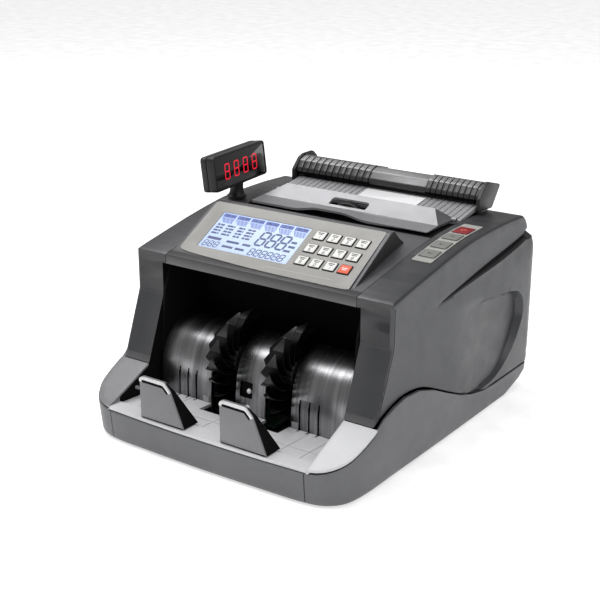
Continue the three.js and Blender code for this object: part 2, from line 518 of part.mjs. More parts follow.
// ---- boards and feet ----
const board = ([x0, x1], [y0, y1], lumps) => joined([block([x0, x1], [y0, y1], [9.1, 10.7]),
  ...lumps.map(([lx, ly, w, l, h]) => block([lx, lx + w], [ly, ly + l], [10.5, 10.7 + h]))]);
const controlBoard = () => board([-70, 10], [-68, -6],
  [[-52, -50, 22, 22, 2.4], [-18, -46, 14, 8, 2], [-18, -30, 14, 8, 2], [-62, -20, 20, 7, 9]]);
const powerBoard = () => board([14, 76], [42, 102],
  [[22, 54, 28, 28, 26], [56, 52, 12, 12, 16], [56, 72, 12, 12, 16], [24, 90, 40, 7, 10]]);
const foot = (x, y) => solidOf(new THREE.CylinderGeometry(8, 7, FOOT_HEIGHT - 0.1, 24).rotateX(Math.PI / 2)
  .translate(x, y, (FOOT_HEIGHT - 0.1) / 2));

// ---- materials and the finished group ----
const material = (color, roughness, metalness = 0) => new THREE.MeshStandardMaterial(
  { color, roughness, metalness });
const GUNMETAL = [0x5b5c60, 0.5, 0.15];
const ROOF_GREY = [0x7b7c80, 0.48, 0.15];
const LIGHT_GREY = [0xc4c5c8, 0.5];
const SILVER = [0xb4b5b8, 0.42, 0.2];
const OVERLAY_GREY = [0xa9a8a3, 0.55];
const GLOSS_BLACK = [0x1d1e20, 0.25];
const BLACK = [0x17181a, 0.5];
const STEEL = [0xa8abb0, 0.35, 0.9];
const RUBBER = [0x0e0e0f, 0.85];
const WHITE_KEY = [0xe8e8e4, 0.5];
const ORANGE_KEY = [0xe4431f, 0.5];
const RED_KEY = [0xb3121a, 0.45];
const BACKLIGHT = [0xc7d8f4, 0.2];
const POLISHED = [0xf2f2f2, 0.2];
const DARK_FILTER = [0x050505, 0.15];
const BOARD_GREEN = [0x1f5a38, 0.6];

const machine = new THREE.Group();
const put = (name, solid, finish) => {
  const mesh = new THREE.Mesh(geometryOf(solid), material(...finish));
  mesh.name = name;
  machine.add(mesh);
};

put("lower_housing", lowerHousing(), GUNMETAL);
put("note_tray", noteTray(), LIGHT_GREY);
put("left_stop", noteStop(STOP.lefts[0]), SILVER);
put("right_stop", noteStop(STOP.lefts[1]), SILVER);
put("left_side_cover", mirrored(sideCover()), GUNMETAL);
put("right_side_cover", rightSideCover(), GUNMETAL);
put("top_cover", topCover(), ROOF_GREY);
put("panel_overlay", panelOverlay(), OVERLAY_GREY);
put("lcd_window", lcdWindow(), BACKLIGHT);
let keyNumber = 0;
for (const row of KEY_ROWS) {
  for (const column of KEY_COLUMNS) {
    keyNumber += 1;
    const last = keyNumber === KEY_ROWS.length * KEY_COLUMNS.length;
    const name = `key_${String(keyNumber).padStart(2, "0")}`;
    put(name, consoleKey(column, row), last ? ORANGE_KEY : WHITE_KEY);
  }
}
put("side_overlay", sideOverlay(), OVERLAY_GREY);
SIDE_KEY_YS.forEach((y, i) => put(`side_key_${i + 1}`, sideKey(y, SIDE_KEY.length), OVERLAY_GREY));
put("side_key_red", sideKey(SIDE_RED.y, SIDE_RED.length), RED_KEY);
put("hood", hood(), SILVER);
put("gap_adjust_knob", gapAdjustKnob(), BLACK);
put("hopper_ramp", hopperRamp(), SILVER);
put("hopper_center_plate", hopperCenterPlate(), POLISHED);
put("hopper_back", hopperBack(), BLACK);
put("display_post", displayPost(), BLACK);
put("display_housing", displayHousing(), BLACK);
put("display_window", displayWindow(), DARK_FILTER);
put("left_guide", guide(-84.2, -36, GUIDE.leftSlits), GLOSS_BLACK);
put("center_guide", centerGuide(), GLOSS_BLACK);
put("right_guide", guide(36, 84.2, GUIDE.rightSlits), GLOSS_BLACK);
put("stacker_shaft", shaft(STACKER_AXIS), STEEL);
put("left_impeller", impeller(-IMPELLER.x), RUBBER);
put("right_impeller", impeller(IMPELLER.x), RUBBER);
put("feed_shaft", shaft(FEED_AXIS), STEEL);
put("feed_roller_left", roller(FEED_AXIS, -ROLLER.x, ROLLER.feed), RUBBER);
put("feed_roller_right", roller(FEED_AXIS, ROLLER.x, ROLLER.feed), RUBBER);
put("drive_shaft", driveShaft(), STEEL);
put("drive_roller_left", roller(DRIVE_AXIS, -ROLLER.x, ROLLER.drive), RUBBER);
put("drive_roller_right", roller(DRIVE_AXIS, ROLLER.x, ROLLER.drive), RUBBER);
put("main_motor", mainMotor(), STEEL);
put("motor_pulley", motorPulley(), STEEL);
put("drive_belt", driveBelt(), RUBBER);
put("left_frame_plate", framePlate(-PLATE.inner - PLATE.thick), BLACK);
put("right_frame_plate", framePlate(PLATE.inner), BLACK);
put("rear_cover", rearCover(), GUNMETAL);
put("power_inlet", powerInlet(), BLACK);
put("power_switch", powerSwitch(), BLACK);
put("control_board", controlBoard(), BOARD_GREEN);
put("power_board", powerBoard(), BOARD_GREEN);
const FEET = { front_left: [-88, -104], front_right: [88, -104], rear_left: [-88, 96], rear_right: [88, 96] };
for (const [name, [x, y]] of Object.entries(FEET)) put(`foot_${name}`, foot(x, y), RUBBER);

export default machine;
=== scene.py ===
"""Banknote counting machine: the looks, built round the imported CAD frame.

Lengths in this script are written in millimetres and turned into metres as each mesh is made. +Z is up, the
front of the machine faces -Y and +X is the user's right, as in the CAD frame. A profile is a list of (y, z)
points seen from the side, a plan a list of (x, y) points seen from above, a section a list of (x, z) points
seen from the front.
"""
import json
import math

import bmesh
import bpy
import numpy as np
from mathutils import Matrix, Vector
from mathutils.geometry import delaunay_2d_cdt


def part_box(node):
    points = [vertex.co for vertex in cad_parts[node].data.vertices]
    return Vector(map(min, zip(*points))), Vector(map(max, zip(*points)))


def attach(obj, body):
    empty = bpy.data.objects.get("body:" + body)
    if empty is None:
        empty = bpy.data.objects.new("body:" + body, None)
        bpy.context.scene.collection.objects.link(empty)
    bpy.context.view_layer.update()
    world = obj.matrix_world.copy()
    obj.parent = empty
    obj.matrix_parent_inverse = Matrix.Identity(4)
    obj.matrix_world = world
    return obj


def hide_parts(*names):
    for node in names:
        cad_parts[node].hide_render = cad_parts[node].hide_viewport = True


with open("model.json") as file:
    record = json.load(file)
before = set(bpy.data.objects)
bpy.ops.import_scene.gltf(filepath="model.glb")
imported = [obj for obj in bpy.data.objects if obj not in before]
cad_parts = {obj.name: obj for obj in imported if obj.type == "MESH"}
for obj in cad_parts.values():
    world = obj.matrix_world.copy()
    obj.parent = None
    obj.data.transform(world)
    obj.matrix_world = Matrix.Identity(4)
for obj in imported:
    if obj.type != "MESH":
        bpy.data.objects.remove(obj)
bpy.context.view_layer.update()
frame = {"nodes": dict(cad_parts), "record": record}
MM = 0.001


def cad(node):
    """A CAD node's lowest and highest corner, in millimetres."""
    low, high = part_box(node)
    return Vector(low) / MM, Vector(high) / MM


def centre(node):
    low, high = cad(node)
    return (low + high) / 2


# ---- the lines that shape the machine ----
WALL = 2.6
CENTRE_HALF = cad("rear_cover")[1].x
MOUTH_HALF = 87.4
MOUTH_TOP = 121.0
FRONT_Y = cad("note_tray")[0].y
WING_FRONT = (-139.4, 27.2)
WING_REAR = (-94.3, 46.6)
REAR_SEAM_Z = 20.0
BASE_TOP_LINE = [(-91, 50), (-80, 54), (-62, 58), (-43, 57), (-29, 53.4), (7, 37), (32, 27),
                 (64, REAR_SEAM_Z)]
ROOF_LINE = [(-75, 128.1), (-65, 130.2), (-27, 137.3), (2, 142.2), (31, 146), (60, 147.2), (86, 147.4)]
REAR_LINE = [(115.5, 146), (122.4, 140.8), (128.2, 128.1), (135.8, 105.2), (138.8, 87.3), (140.6, 64),
             (139.2, 33.4), (136.6, REAR_SEAM_Z)]
CHEEK_LINE = [(-18, 110.4), (0, 112.8), (30, 116.5), (61, 120.2), (94, 124.4), (114, 127.4), (126, 130)]
CRESCENT = [(92, 92.2), (104, 89), (113, 81.5), (115.4, 68), (111, 56.2), (102.5, 42.7), (91.3, 32.3),
            (76.7, 25.4), (55.5, 23.2)]
PLAN_SIDE = [(88, -139.2), (101, -134.6), (110.5, -124.5), (114.6, -108), (115.6, -60), (117, 20),
             (118, 92),
             (118, 124), (114.6, 134), (105, 140.6), (80, 141.4)]
SIDE_LIMIT = [(1.6, 113), (3.2, 114), (9.5, 114.6), (27, 115.2), (46, 117), (64, 118), (112, 118),
              (152, 113.4)]
COVER_LIMIT = [(-96, 112.4), (-20, 113.2), (40, 115.4), (100, 118), (124, 118), (134, 114.6), (141, 104.6)]
REAR_LIMIT = [(3, 100), (10, 124), (14, 133), (20, 136.6), (30, 141.4)]
PANEL = Matrix.Translation((0, -25.4, 151.7)) @ Matrix.Rotation(math.radians(28.4), 4, "X")
LCD = {"u": (-66.6, 13.9), "v": (-38.0, 0.0)}
SHEET_TOP = 0.7
KEY_NAMES = [f"key_{i + 1:02d}" for i in range(12)]
SIDE_KEY_NAMES = ["side_key_1", "side_key_2", "side_key_3", "side_key_red"]
DISPLAY = (Matrix.Translation((-94, 30.5, 173.3)) @ Matrix.Rotation(math.radians(96.1), 4, "Z")
           @ Matrix.Rotation(math.radians(-6.8), 4, "X"))
DISPLAY_SIZE = (77.0, 28.0, 12.5)


# ---- lines and outlines ----
def smooth(points, steps=5, closed=False):
    """A curve through the points, with centripetal spacing so that it never overshoots."""
    knots = [Vector(p) for p in points]
    count = len(knots)

    def at(i):
        return knots[i % count] if closed else knots[max(0, min(count - 1, i))]

    def pull(a, b, c):
        one, two = math.sqrt((b - a).length), math.sqrt((c - b).length)
        if one < 1e-6 or two < 1e-6:
            return None
        return (b - a) / one - (c - a) / (one + two) + (c - b) / two

    made = []
    for i in range(count if closed else count - 1):
        a, b, c, d = at(i - 1), at(i), at(i + 1), at(i + 2)
        span = math.sqrt((c - b).length)
        first, second = pull(a, b, c), pull(b, c, d)
        first = c - b if first is None else first * span
        second = c - b if second is None else second * span
        for k in range(steps):
            t = k / steps
            made.append(b * (2 * t**3 - 3 * t**2 + 1) + first * (t**3 - 2 * t**2 + t)
                        + c * (3 * t**2 - 2 * t**3) + second * (t**3 - t**2))
    if not closed:
        made.append(knots[-1])
    return [tuple(p) for p in made]


def rounded(points, radius, steps=3):
    """A closed outline with each corner rounded; radius is one number or one for each corner."""
    knots = [Vector(p) for p in points]
    radii = radius if isinstance(radius, (list, tuple)) else [radius] * len(knots)
    made = []
    for i, (corner, size) in enumerate(zip(knots, radii)):
        before, after = knots[i - 1] - corner, knots[(i + 1) % len(knots)] - corner
        turn = before.angle(after, math.pi)
        reach = min(size / max(math.tan(turn / 2), 1e-3), 0.48 * before.length, 0.48 * after.length)
        if size <= 0 or reach < 1e-3:
            made.append(tuple(corner))
            continue
        start, end = corner + before.normalized() * reach, corner + after.normalized() * reach
        for k in range(steps + 1):
            t = k / steps
            made.append(tuple(start * (1 - t)**2 + corner * (2 * t * (1 - t)) + end * t**2))
    return made


def area(points):
    return sum(a[0] * b[1] - b[0] * a[1] for a, b in zip(points, [*points[1:], points[0]])) / 2


def inset(points, distance, closed=True):
    """An outline moved inwards, or an open line moved to its left."""
    if closed and area(points) < 0:
        distance = -distance
    last = len(points) - 1
    made = []
    for i, point in enumerate(points):
        before = points[i - 1] if closed or i > 0 else points[i]
        after = points[(i + 1) % len(points)] if closed or i < last else points[i]
        into = Vector(point) - Vector(before)
        out = Vector(after) - Vector(point)
        into = (into if into.length > 1e-9 else out).normalized()
        out = (out if out.length > 1e-9 else into).normalized()
        normal = Vector((-into.y - out.y, into.x + out.x)).normalized()
        slant = max(0.4, normal.dot(Vector((-into.y, into.x))))
        made.append((point[0] + normal.x * distance / slant, point[1] + normal.y * distance / slant))
    return made


def band(line, thick):
    """A strip of even thickness on the right of an open line."""
    return [*line, *reversed(inset(line, -thick, closed=False))]


def between(line, value, into=0, out=1):
    """The point of a line at a value of its first coordinate, as its other coordinate."""
    xs, ys = [p[into] for p in line], [p[out] for p in line]
    return float(np.interp(value, xs, ys))


def resampled(line, spacing, closed=True):
    """The same line with a point at least every so many millimetres."""
    made = []
    ends = [*line[1:], line[0]] if closed else line[1:]
    for a, b in zip(line, ends):
        parts = max(1, math.ceil(math.dist(a, b) / spacing))
        made += [(a[0] + (b[0] - a[0]) * k / parts, a[1] + (b[1] - a[1]) * k / parts) for k in range(parts)]
    return made if closed else [*made, line[-1]]


ROOF = smooth(ROOF_LINE, 4)


def roof_z(y):
    return between(ROOF, y)


def roof_tilt(y):
    return math.atan2(roof_z(y + 4) - roof_z(y - 4), 8)


def roof_frame(x, y):
    return Matrix.Translation((x, y, roof_z(y))) @ Matrix.Rotation(roof_tilt(y), 4, "X")


def soft_low(a, b, blend=0.5):
    """The lower of two numbers, blended where they cross."""
    return (a + b - math.sqrt((a - b)**2 + blend)) / 2


def ease(value, start, end):
    t = max(0.0, min(1.0, (value - start) / (end - start)))
    return t * t * (3 - 2 * t)


def circle(radius, place=(0, 0), sides=48):
    return [(place[0] + radius * math.cos(2 * math.pi * i / sides),
             place[1] + radius * math.sin(2 * math.pi * i / sides)) for i in range(sides)]


def rectangle(x0, x1, y0, y1):
    return [(x0, y0), (x1, y0), (x1, y1), (x0, y1)]


# ---- meshes ----
ALONG = {"x": lambda a, b, t: (t, a, b), "y": lambda a, b, t: (a, t, b), "z": lambda a, b, t: (a, b, t)}


class Shape:
    """Points in millimetres and faces, gathered from simple pieces of surface."""

    def __init__(self):
        self.points, self.faces = [], []

    def add(self, points, faces):
        first = len(self.points)
        self.points += [tuple(p) for p in points]
        self.faces += [[first + i for i in face] for face in faces]
        return self

    def join(self, other):
        return self.add(other.points, other.faces)

    def loft(self, rings, closed=True, caps=True):
        """Quads between one ring of points and the next, with the first and last ring filled."""
        size = len(rings[0])
        steps = size if closed else size - 1
        faces = [[k * size + i, k * size + (i + 1) % size, (k + 1) * size + (i + 1) % size,
                  (k + 1) * size + i]
                 for k in range(len(rings) - 1) for i in range(steps)]
        if caps:
            faces += [list(range(size))[::-1], [(len(rings) - 1) * size + i for i in range(size)]]
        return self.add([p for ring in rings for p in ring], faces)

    def moved(self, matrix):
        self.points = [tuple(matrix @ Vector(p)) for p in self.points]
        return self

    def bent(self, rule):
        self.points = [tuple(rule(*p)) for p in self.points]
        return self


def extruded(outline, axis, t0, t1, edge=0.0, steps=3):
    """An outline carried along an axis, with its two end edges rounded."""
    place = ALONG[axis]
    if not edge:
        return Shape().loft([[place(a, b, t) for a, b in outline] for t in (t0, t1)])
    turns = [math.pi / 2 * k / steps for k in range(steps + 1)]
    ends = [(inset(outline, edge * (1 - math.sin(turn))), edge * (1 - math.cos(turn))) for turn in turns]
    rings = [[place(a, b, t0 + depth) for a, b in ring] for ring, depth in ends]
    rings += [[place(a, b, t1 - depth) for a, b in ring] for ring, depth in reversed(ends)]
    return Shape().loft(rings)


def slab(x, y, z, edge=0.4, corner=None, axis="z"):
    """A block with rounded edges, carried along one axis, with its corners seen along that axis rounded."""
    spans = {"x": (y, z, x), "y": (x, z, y), "z": (x, y, z)}[axis]
    outline = rectangle(*spans[0], *spans[1])
    size = edge if corner is None else corner
    return extruded(rounded(outline, size) if size else outline, axis, *spans[2], edge)


def rod(axis, place, radius, t0, t1, edge=0.3, sides=48):
    """A round bar along an axis, with rounded end edges."""
    return extruded(circle(radius, place, sides), axis, t0, t1, edge)


def rod_pair(place, radius, inner, outer, edge, sides):
    """Two short rods on one line along x, on either side of the machine's middle."""
    made = Shape()
    for t0, t1 in ((-outer, -inner), (inner, outer)):
        made.join(rod("x", place, radius, t0, t1, edge, sides))
    return made


def turned(place, profile, sides):
    """A round solid about an upright axis, from (radius, z) points."""
    x, y = place
    turns = np.linspace(0, 2 * math.pi, sides, False)
    return Shape().loft([[(x + r * math.cos(t), y + r * math.sin(t), z) for t in turns] for r, z in profile])


def within(points, outline):
    """Which of the points lie inside a closed outline."""
    x, y = points[:, 0][:, None], points[:, 1][:, None]
    a = np.array(outline, float)
    b = np.roll(a, -1, axis=0)
    crosses = (a[:, 1] > y) != (b[:, 1] > y)
    rise = np.where(b[:, 1] == a[:, 1], 1e-12, b[:, 1] - a[:, 1])
    left = x < (b[:, 0] - a[:, 0]) * (y - a[:, 1]) / rise + a[:, 0]
    return (crosses & left).sum(axis=1) % 2 == 1


def distance(points, line, closed=True):
    """How far each point lies from a line."""
    a = np.array(line, float)
    b = np.roll(a, -1, axis=0)
    if not closed:
        a, b = a[:-1], b[:-1]
    step = b - a
    length = np.maximum((step**2).sum(axis=1), 1e-12)
    offset = points[:, None, :] - a[None]
    t = np.clip((offset * step).sum(axis=2) / length, 0, 1)
    return np.sqrt(((offset - t[..., None] * step)**2).sum(axis=2)).min(axis=1)


def filled(outline, spacing, holes=(), lines=()):
    """Triangles that fill a flat outline, with edges along the holes and lines and points between them."""
    outline_np = np.array(outline, float)
    loops = [list(outline), *[list(hole) for hole in holes]]
    points, edges = [], []
    for loop, closed in [(loop, True) for loop in loops] + [(list(line), False) for line in lines]:
        first, size = len(points), len(loop)
        points += [tuple(p) for p in loop]
        edges += [(first + i, first + (i + 1) % size) for i in range(size if closed else size - 1)]
    (x0, y0), (x1, y1) = outline_np.min(axis=0), outline_np.max(axis=0)
    grid = np.array([(x, y) for i, y in enumerate(np.arange(y0 + spacing / 2, y1, spacing * 0.87))
                     for x in np.arange(x0 + spacing / 2 + (i % 2) * spacing / 2, x1, spacing)])
    if len(grid):
        keep = within(grid, outline) & (distance(grid, outline) > spacing * 0.45)
        for hole in holes:
            keep &= ~within(grid, hole) & (distance(grid, hole) > spacing * 0.45)
        for line in lines:
            keep &= distance(grid, line, closed=False) > spacing * 0.45
        points += [tuple(p) for p in grid[keep]]
    placed, _, faces, *_ = delaunay_2d_cdt([Vector(p) for p in points], edges, [], 0, 1e-5)
    flat = np.array([tuple(p) for p in placed])
    middle = np.array([flat[list(face)].mean(axis=0) for face in faces])
    keep = within(middle, outline)
    for hole in holes:
        keep &= ~within(middle, hole)
    return [tuple(p) for p in placed], [list(face) for face, kept in zip(faces, keep) if kept]


def rim(faces):
    """The edges that only one face has, in that face's direction."""
    seen = {}
    for face in faces:
        for a, b in zip(face, [*face[1:], face[0]]):
            seen[(a, b)] = True
    return [(a, b) for a, b in seen if (b, a) not in seen]


def plate(outline, top, bottom, spacing=6.0, holes=(), lines=()):
    """A plate whose two faces follow height rules of (x, y), closed by walls along its edges and holes."""
    flat, faces = filled(outline, spacing, holes, lines)
    size = len(flat)
    points = [(x, y, top(x, y)) for x, y in flat] + [(x, y, bottom(x, y)) for x, y in flat]
    under = [[size + i for i in reversed(face)] for face in faces]
    walls = [[b, a, size + a, size + b] for a, b in rim(faces)]
    return Shape().add(points, faces + under + walls)


def settle(item):
    """Applies the item's modifiers to its mesh."""
    graph = bpy.context.evaluated_depsgraph_get()
    settled = bpy.data.meshes.new_from_object(item.evaluated_get(graph))
    item.modifiers.clear()
    item.data = settled


def mesh_item(name, shape, tidy=True):
    mesh = bpy.data.meshes.new(name)
    mesh.from_pydata([Vector(p) * MM for p in shape.points], [], shape.faces)
    if tidy:
        work = bmesh.new()
        work.from_mesh(mesh)
        bmesh.ops.remove_doubles(work, verts=work.verts, dist=2e-6)
        bmesh.ops.recalc_face_normals(work, faces=work.faces)
        work.to_mesh(mesh)
        work.free()
    item = bpy.data.objects.new(name, mesh)
    bpy.context.collection.objects.link(item)
    return item


def carve(item, shapes, operation="DIFFERENCE"):
    """Cuts shapes out of the item."""
    for shape in shapes:
        tool = mesh_item("cutter", shape)
        modifier = item.modifiers.new("cut", "BOOLEAN")
        modifier.operation = operation
        modifier.solver = "EXACT"
        modifier.object = tool
        settle(item)
        bpy.data.objects.remove(tool)


def tinted(item, paint, rule):
    """Gives a second material to the faces that a rule of their middle and normal picks."""
    if not item.data.materials:
        item.data.materials.append(PAINT["body_grey"])
    item.data.materials.append(paint)
    for face in item.data.polygons:
        if rule(face.center / MM, face.normal):
            face.material_index = len(item.data.materials) - 1


def piece(name, shape, body, slot, *, paint=None, stands_for=(), cuts=(), bevel=0.0, angle=34):
    """A finished piece of the machine: mesh, rounded edges, material, and the body it rides on."""
    item = mesh_item(name, shape)
    carve(item, cuts)
    if bevel:
        modifier = item.modifiers.new("bevel", "BEVEL")
        modifier.width = bevel * MM
        modifier.segments = 2
        modifier.limit_method = "ANGLE"
        modifier.angle_limit = math.radians(40)
        settle(item)
    item.data.shade_smooth()
    item.data.set_sharp_from_angle(angle=math.radians(angle))
    item.data.materials.clear()
    item.data.materials.append(paint or PAINT[slot])
    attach(item, body)
    if stands_for:
        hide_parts(*stands_for)
    return item


# ---- camera, floor and lights ----
def look(azimuth, elevation):
    """The direction from the aim point back to a camera or a lamp."""
    a, e = math.radians(azimuth), math.radians(elevation)
    return Vector((math.sin(a) * math.cos(e), -math.cos(a) * math.cos(e), math.sin(e)))


def face_back(item, aim, back, reach):
    item.location = Vector(aim) * MM + back * reach
    item.rotation_mode = "QUATERNION"
    item.rotation_quaternion = (-back).to_track_quat("-Z", "Y")
    bpy.context.collection.objects.link(item)


def add_camera():
    data = bpy.data.cameras.new("camera")
    data.lens = 74.0
    camera = bpy.data.objects.new("camera", data)
    face_back(camera, (-68.1, 75.0, 52.2), look(35.22, 19.38), 1.045)
    bpy.context.scene.camera = camera


def add_lamp(name, azimuth, elevation, reach, size, power):
    data = bpy.data.lights.new(name, "AREA")
    data.size = size
    data.energy = power
    face_back(bpy.data.objects.new(name, data), (0, 0, 80), look(azimuth, elevation), reach)


def add_studio():
    world = bpy.data.worlds.new("studio")
    bpy.context.scene.world = world
    world.use_nodes = True
    background = world.node_tree.nodes["Background"]
    background.inputs["Color"].default_value = (1.0, 1.0, 1.0, 1.0)
    background.inputs["Strength"].default_value = 0.36
    add_lamp("overhead", 0, 80, 1.6, 1.0, 9)
    add_lamp("key_right", 75, 32, 1.6, 0.7, 3)
    add_lamp("left_front", -44, 54, 1.6, 0.45, 4.4)
    add_lamp("back_left", -112, 57, 1.6, 0.8, 9)
    view = bpy.context.scene.view_settings
    view.view_transform = "Standard"
    view.look = "None"
    half = 6000.0
    floor = mesh_item("floor", Shape().add([(x, y, 0) for x, y in rectangle(-half, half, -half, half)],
                                           [[0, 1, 2, 3]]))
    floor.data.materials.append(glowing("pale_floor", (0.9, 0.9, 0.9), 0.62, 0.6))


# ---- materials ----
def shader_of(name):
    made = bpy.data.materials.new(name)
    made.use_nodes = True
    return made, made.node_tree, made.node_tree.nodes["Principled BSDF"]


def noise(tree, place, scale, detail=3.0, stretch=None):
    """Noise in the piece's own space, stretched along an axis if asked."""
    node = tree.nodes.new("ShaderNodeTexNoise")
    node.inputs["Scale"].default_value = scale
    node.inputs["Detail"].default_value = detail
    if stretch:
        mapping = tree.nodes.new("ShaderNodeMapping")
        mapping.inputs["Scale"].default_value = stretch
        tree.links.new(place, mapping.inputs["Vector"])
        place = mapping.outputs["Vector"]
    tree.links.new(place, node.inputs["Vector"])
    return node.outputs["Fac"]


def ramp(tree, value, stops):
    """A colour ramp over (position, colour) stops."""
    node = tree.nodes.new("ShaderNodeValToRGB")
    elements = node.color_ramp.elements
    while len(elements) < len(stops):
        elements.new(0.5)
    for element, (position, colour) in zip(elements, stops):
        element.position = position
        element.color = (*colour, 1.0)
    tree.links.new(value, node.inputs["Fac"])
    return node.outputs["Color"]


def spread(tree, value, low, high):
    """A noise value brought into a range."""
    node = tree.nodes.new("ShaderNodeMapRange")
    node.inputs["From Min"].default_value = 0.3
    node.inputs["From Max"].default_value = 0.7
    node.inputs["To Min"].default_value = low
    node.inputs["To Max"].default_value = high
    tree.links.new(value, node.inputs["Value"])
    return node.outputs["Result"]


def shade(colour, factor):
    return tuple(min(1.0, channel * factor) for channel in colour)


def blended(tree, kind, first, second):
    node = tree.nodes.new("ShaderNodeMixRGB")
    node.blend_type = kind
    node.inputs["Fac"].default_value = 1.0
    tree.links.new(first, node.inputs["Color1"])
    tree.links.new(second, node.inputs["Color2"])
    return node.outputs["Color"]


def moulded(name, colour, rough, *, metallic=0.0, coat=0.0, specular=0.5, variation=0.06, cloud=14.0,
            grain=1500.0, grain_depth=0.08, streak=None, wear=0.12, rough_spread=0.05):
    """Moulded or painted plastic, metal or rubber: mottled colour, fine grain, worn edges, uneven gloss."""
    made, tree, shader = shader_of(name)
    place = tree.nodes.new("ShaderNodeTexCoord").outputs["Object"]
    base = ramp(tree, noise(tree, place, cloud, 4.0),
                [(0.3, shade(colour, 1 - variation)), (0.5, colour), (0.7, shade(colour, 1 + variation))])
    fine = noise(tree, place, grain, 2.0, streak)
    speck = ramp(tree, fine, [(0.3, (0.5 - variation,) * 3), (0.7, (0.5 + variation,) * 3)])
    edge = tree.nodes.new("ShaderNodeNewGeometry").outputs["Pointiness"]
    worn = ramp(tree, edge, [(0.53, (0.0,) * 3), (0.66, (wear,) * 3)])
    mottled = blended(tree, "OVERLAY", base, speck)
    tree.links.new(blended(tree, "SCREEN", mottled, worn), shader.inputs["Base Color"])
    gloss = noise(tree, place, cloud * 6, 3.0, streak)
    tree.links.new(spread(tree, gloss, rough - rough_spread, rough + rough_spread),
                   shader.inputs["Roughness"])
    bump = tree.nodes.new("ShaderNodeBump")
    bump.inputs["Strength"].default_value = grain_depth
    bump.inputs["Distance"].default_value = 0.0003
    tree.links.new(fine, bump.inputs["Height"])
    tree.links.new(bump.outputs["Normal"], shader.inputs["Normal"])
    shader.inputs["Metallic"].default_value = metallic
    shader.inputs["Coat Weight"].default_value = coat
    shader.inputs["Specular IOR Level"].default_value = specular
    return made


def glowing(name, colour, strength, rough=0.3):
    """A lit surface, a little uneven as a diffuser is."""
    made, tree, shader = shader_of(name)
    place = tree.nodes.new("ShaderNodeTexCoord").outputs["Object"]
    base = ramp(tree, noise(tree, place, 30.0), [(0.3, shade(colour, 0.93)), (0.7, shade(colour, 1.05))])
    tree.links.new(base, shader.inputs["Base Color"])
    tree.links.new(base, shader.inputs["Emission Color"])
    shader.inputs["Emission Strength"].default_value = strength
    tree.links.new(spread(tree, noise(tree, place, 200.0), rough - 0.05, rough + 0.05),
                   shader.inputs["Roughness"])
    return made


PAINT = {
    "body_grey": moulded("gunmetal_plastic", (0.07, 0.071, 0.075), 0.38, metallic=0.6, grain=2200.0),
    "roof_grey": moulded("roof_plastic", (0.115, 0.115, 0.122), 0.42, metallic=0.35, grain=2200.0),
    "light_grey": moulded("tray_plastic", (0.61, 0.61, 0.63), 0.42, grain=1800.0),
    "silver": moulded("silver_plastic", (0.35, 0.35, 0.365), 0.4, metallic=0.2, grain=2400.0),
    "overlay": moulded("membrane", (0.265, 0.259, 0.242), 0.5, grain=2600.0, grain_depth=0.12),
    "key_white": moulded("white_key", (0.8, 0.8, 0.78), 0.45, grain=1600.0),
    "key_orange": moulded("orange_key", (0.78, 0.1, 0.03), 0.42, grain=1600.0),
    "key_grey": moulded("grey_key", (0.21, 0.213, 0.2), 0.5, grain=1600.0),
    "key_red": moulded("red_key", (0.26, 0.002, 0.008), 0.42, grain=1600.0),
    "black": moulded("satin_black", (0.009, 0.009, 0.01), 0.42, grain=1500.0, wear=0.03, specular=0.35),
    "gloss_black": moulded("glossy_guide", (0.24, 0.24, 0.246), 0.3, metallic=1.0, streak=(1.6, 0.05, 0.05),
                           wear=0.04, grain=200.0, variation=0.2, rough_spread=0.05, grain_depth=0.12),
    "display_filter": moulded("dark_filter", (0.006, 0.004, 0.004), 0.12, coat=0.5, wear=0.0),
    "polished": moulded("polished_plate", (0.85, 0.85, 0.86), 0.15, grain=900.0, wear=0.05),
    "steel": moulded("brushed_steel", (0.5, 0.51, 0.53), 0.32, metallic=1.0, streak=(1.0, 14.0, 14.0),
                     grain=260.0),
    "rubber": moulded("black_rubber", (0.004, 0.004, 0.004), 0.5, grain=900.0, grain_depth=0.2, wear=0.02,
                      specular=0.25),
    "board": moulded("circuit_board", (0.02, 0.12, 0.05), 0.35, grain=1200.0),
    "lcd": glowing("lcd_backlight", (0.44, 0.55, 0.78), 0.2),
}
STOP_SILVER = moulded("stop_plastic", (0.17, 0.17, 0.177), 0.36, metallic=0.4, grain=2400.0)
BASE_GREY = moulded("base_plastic", (0.12, 0.121, 0.127), 0.4, metallic=0.5, grain=2200.0)
# Wing paints: the right is the tray's grey, the left a darker copy of it, painted shade for the dimmer light
# on the left wing.
WING_PLAIN_AND_SHADED = {"left": moulded("left_wing_painted_shade", (0.2, 0.2, 0.208), 0.42, grain=1800.0),
              "right": moulded("right_wing_plastic", (0.62, 0.62, 0.64), 0.42, grain=1800.0)}
CONSOLE_SHADE = moulded("console_side_painted_shade", (0.022, 0.022, 0.024), 0.45, grain=2200.0, wear=0.05)
# Light silver for the note stops' top rims: a painted highlight.
RIM_HIGHLIGHT = moulded("painted_highlight_silver", (0.62, 0.62, 0.63), 0.3, metallic=0.3, grain=2400.0)
BAR_BLACK = moulded("bar_plastic", (0.045, 0.045, 0.047), 0.3, metallic=0.3, grain=1500.0, wear=0.05)
BAR_TOP = moulded("bar_top_plastic", (0.13, 0.13, 0.135), 0.4, grain=1500.0)
# Lighter greys for the hopper bar's upward faces: painted highlight and sheen.
BAR_CREST_HIGHLIGHT = moulded("bar_crest_painted_highlight", (0.19, 0.19, 0.195), 0.32, metallic=0.3, grain=1500.0, wear=0.05)
BAR_SHINE = moulded("bar_sleeve_painted_sheen", (0.2, 0.2, 0.204), 0.34, metallic=0.3, grain=1500.0, wear=0.05)
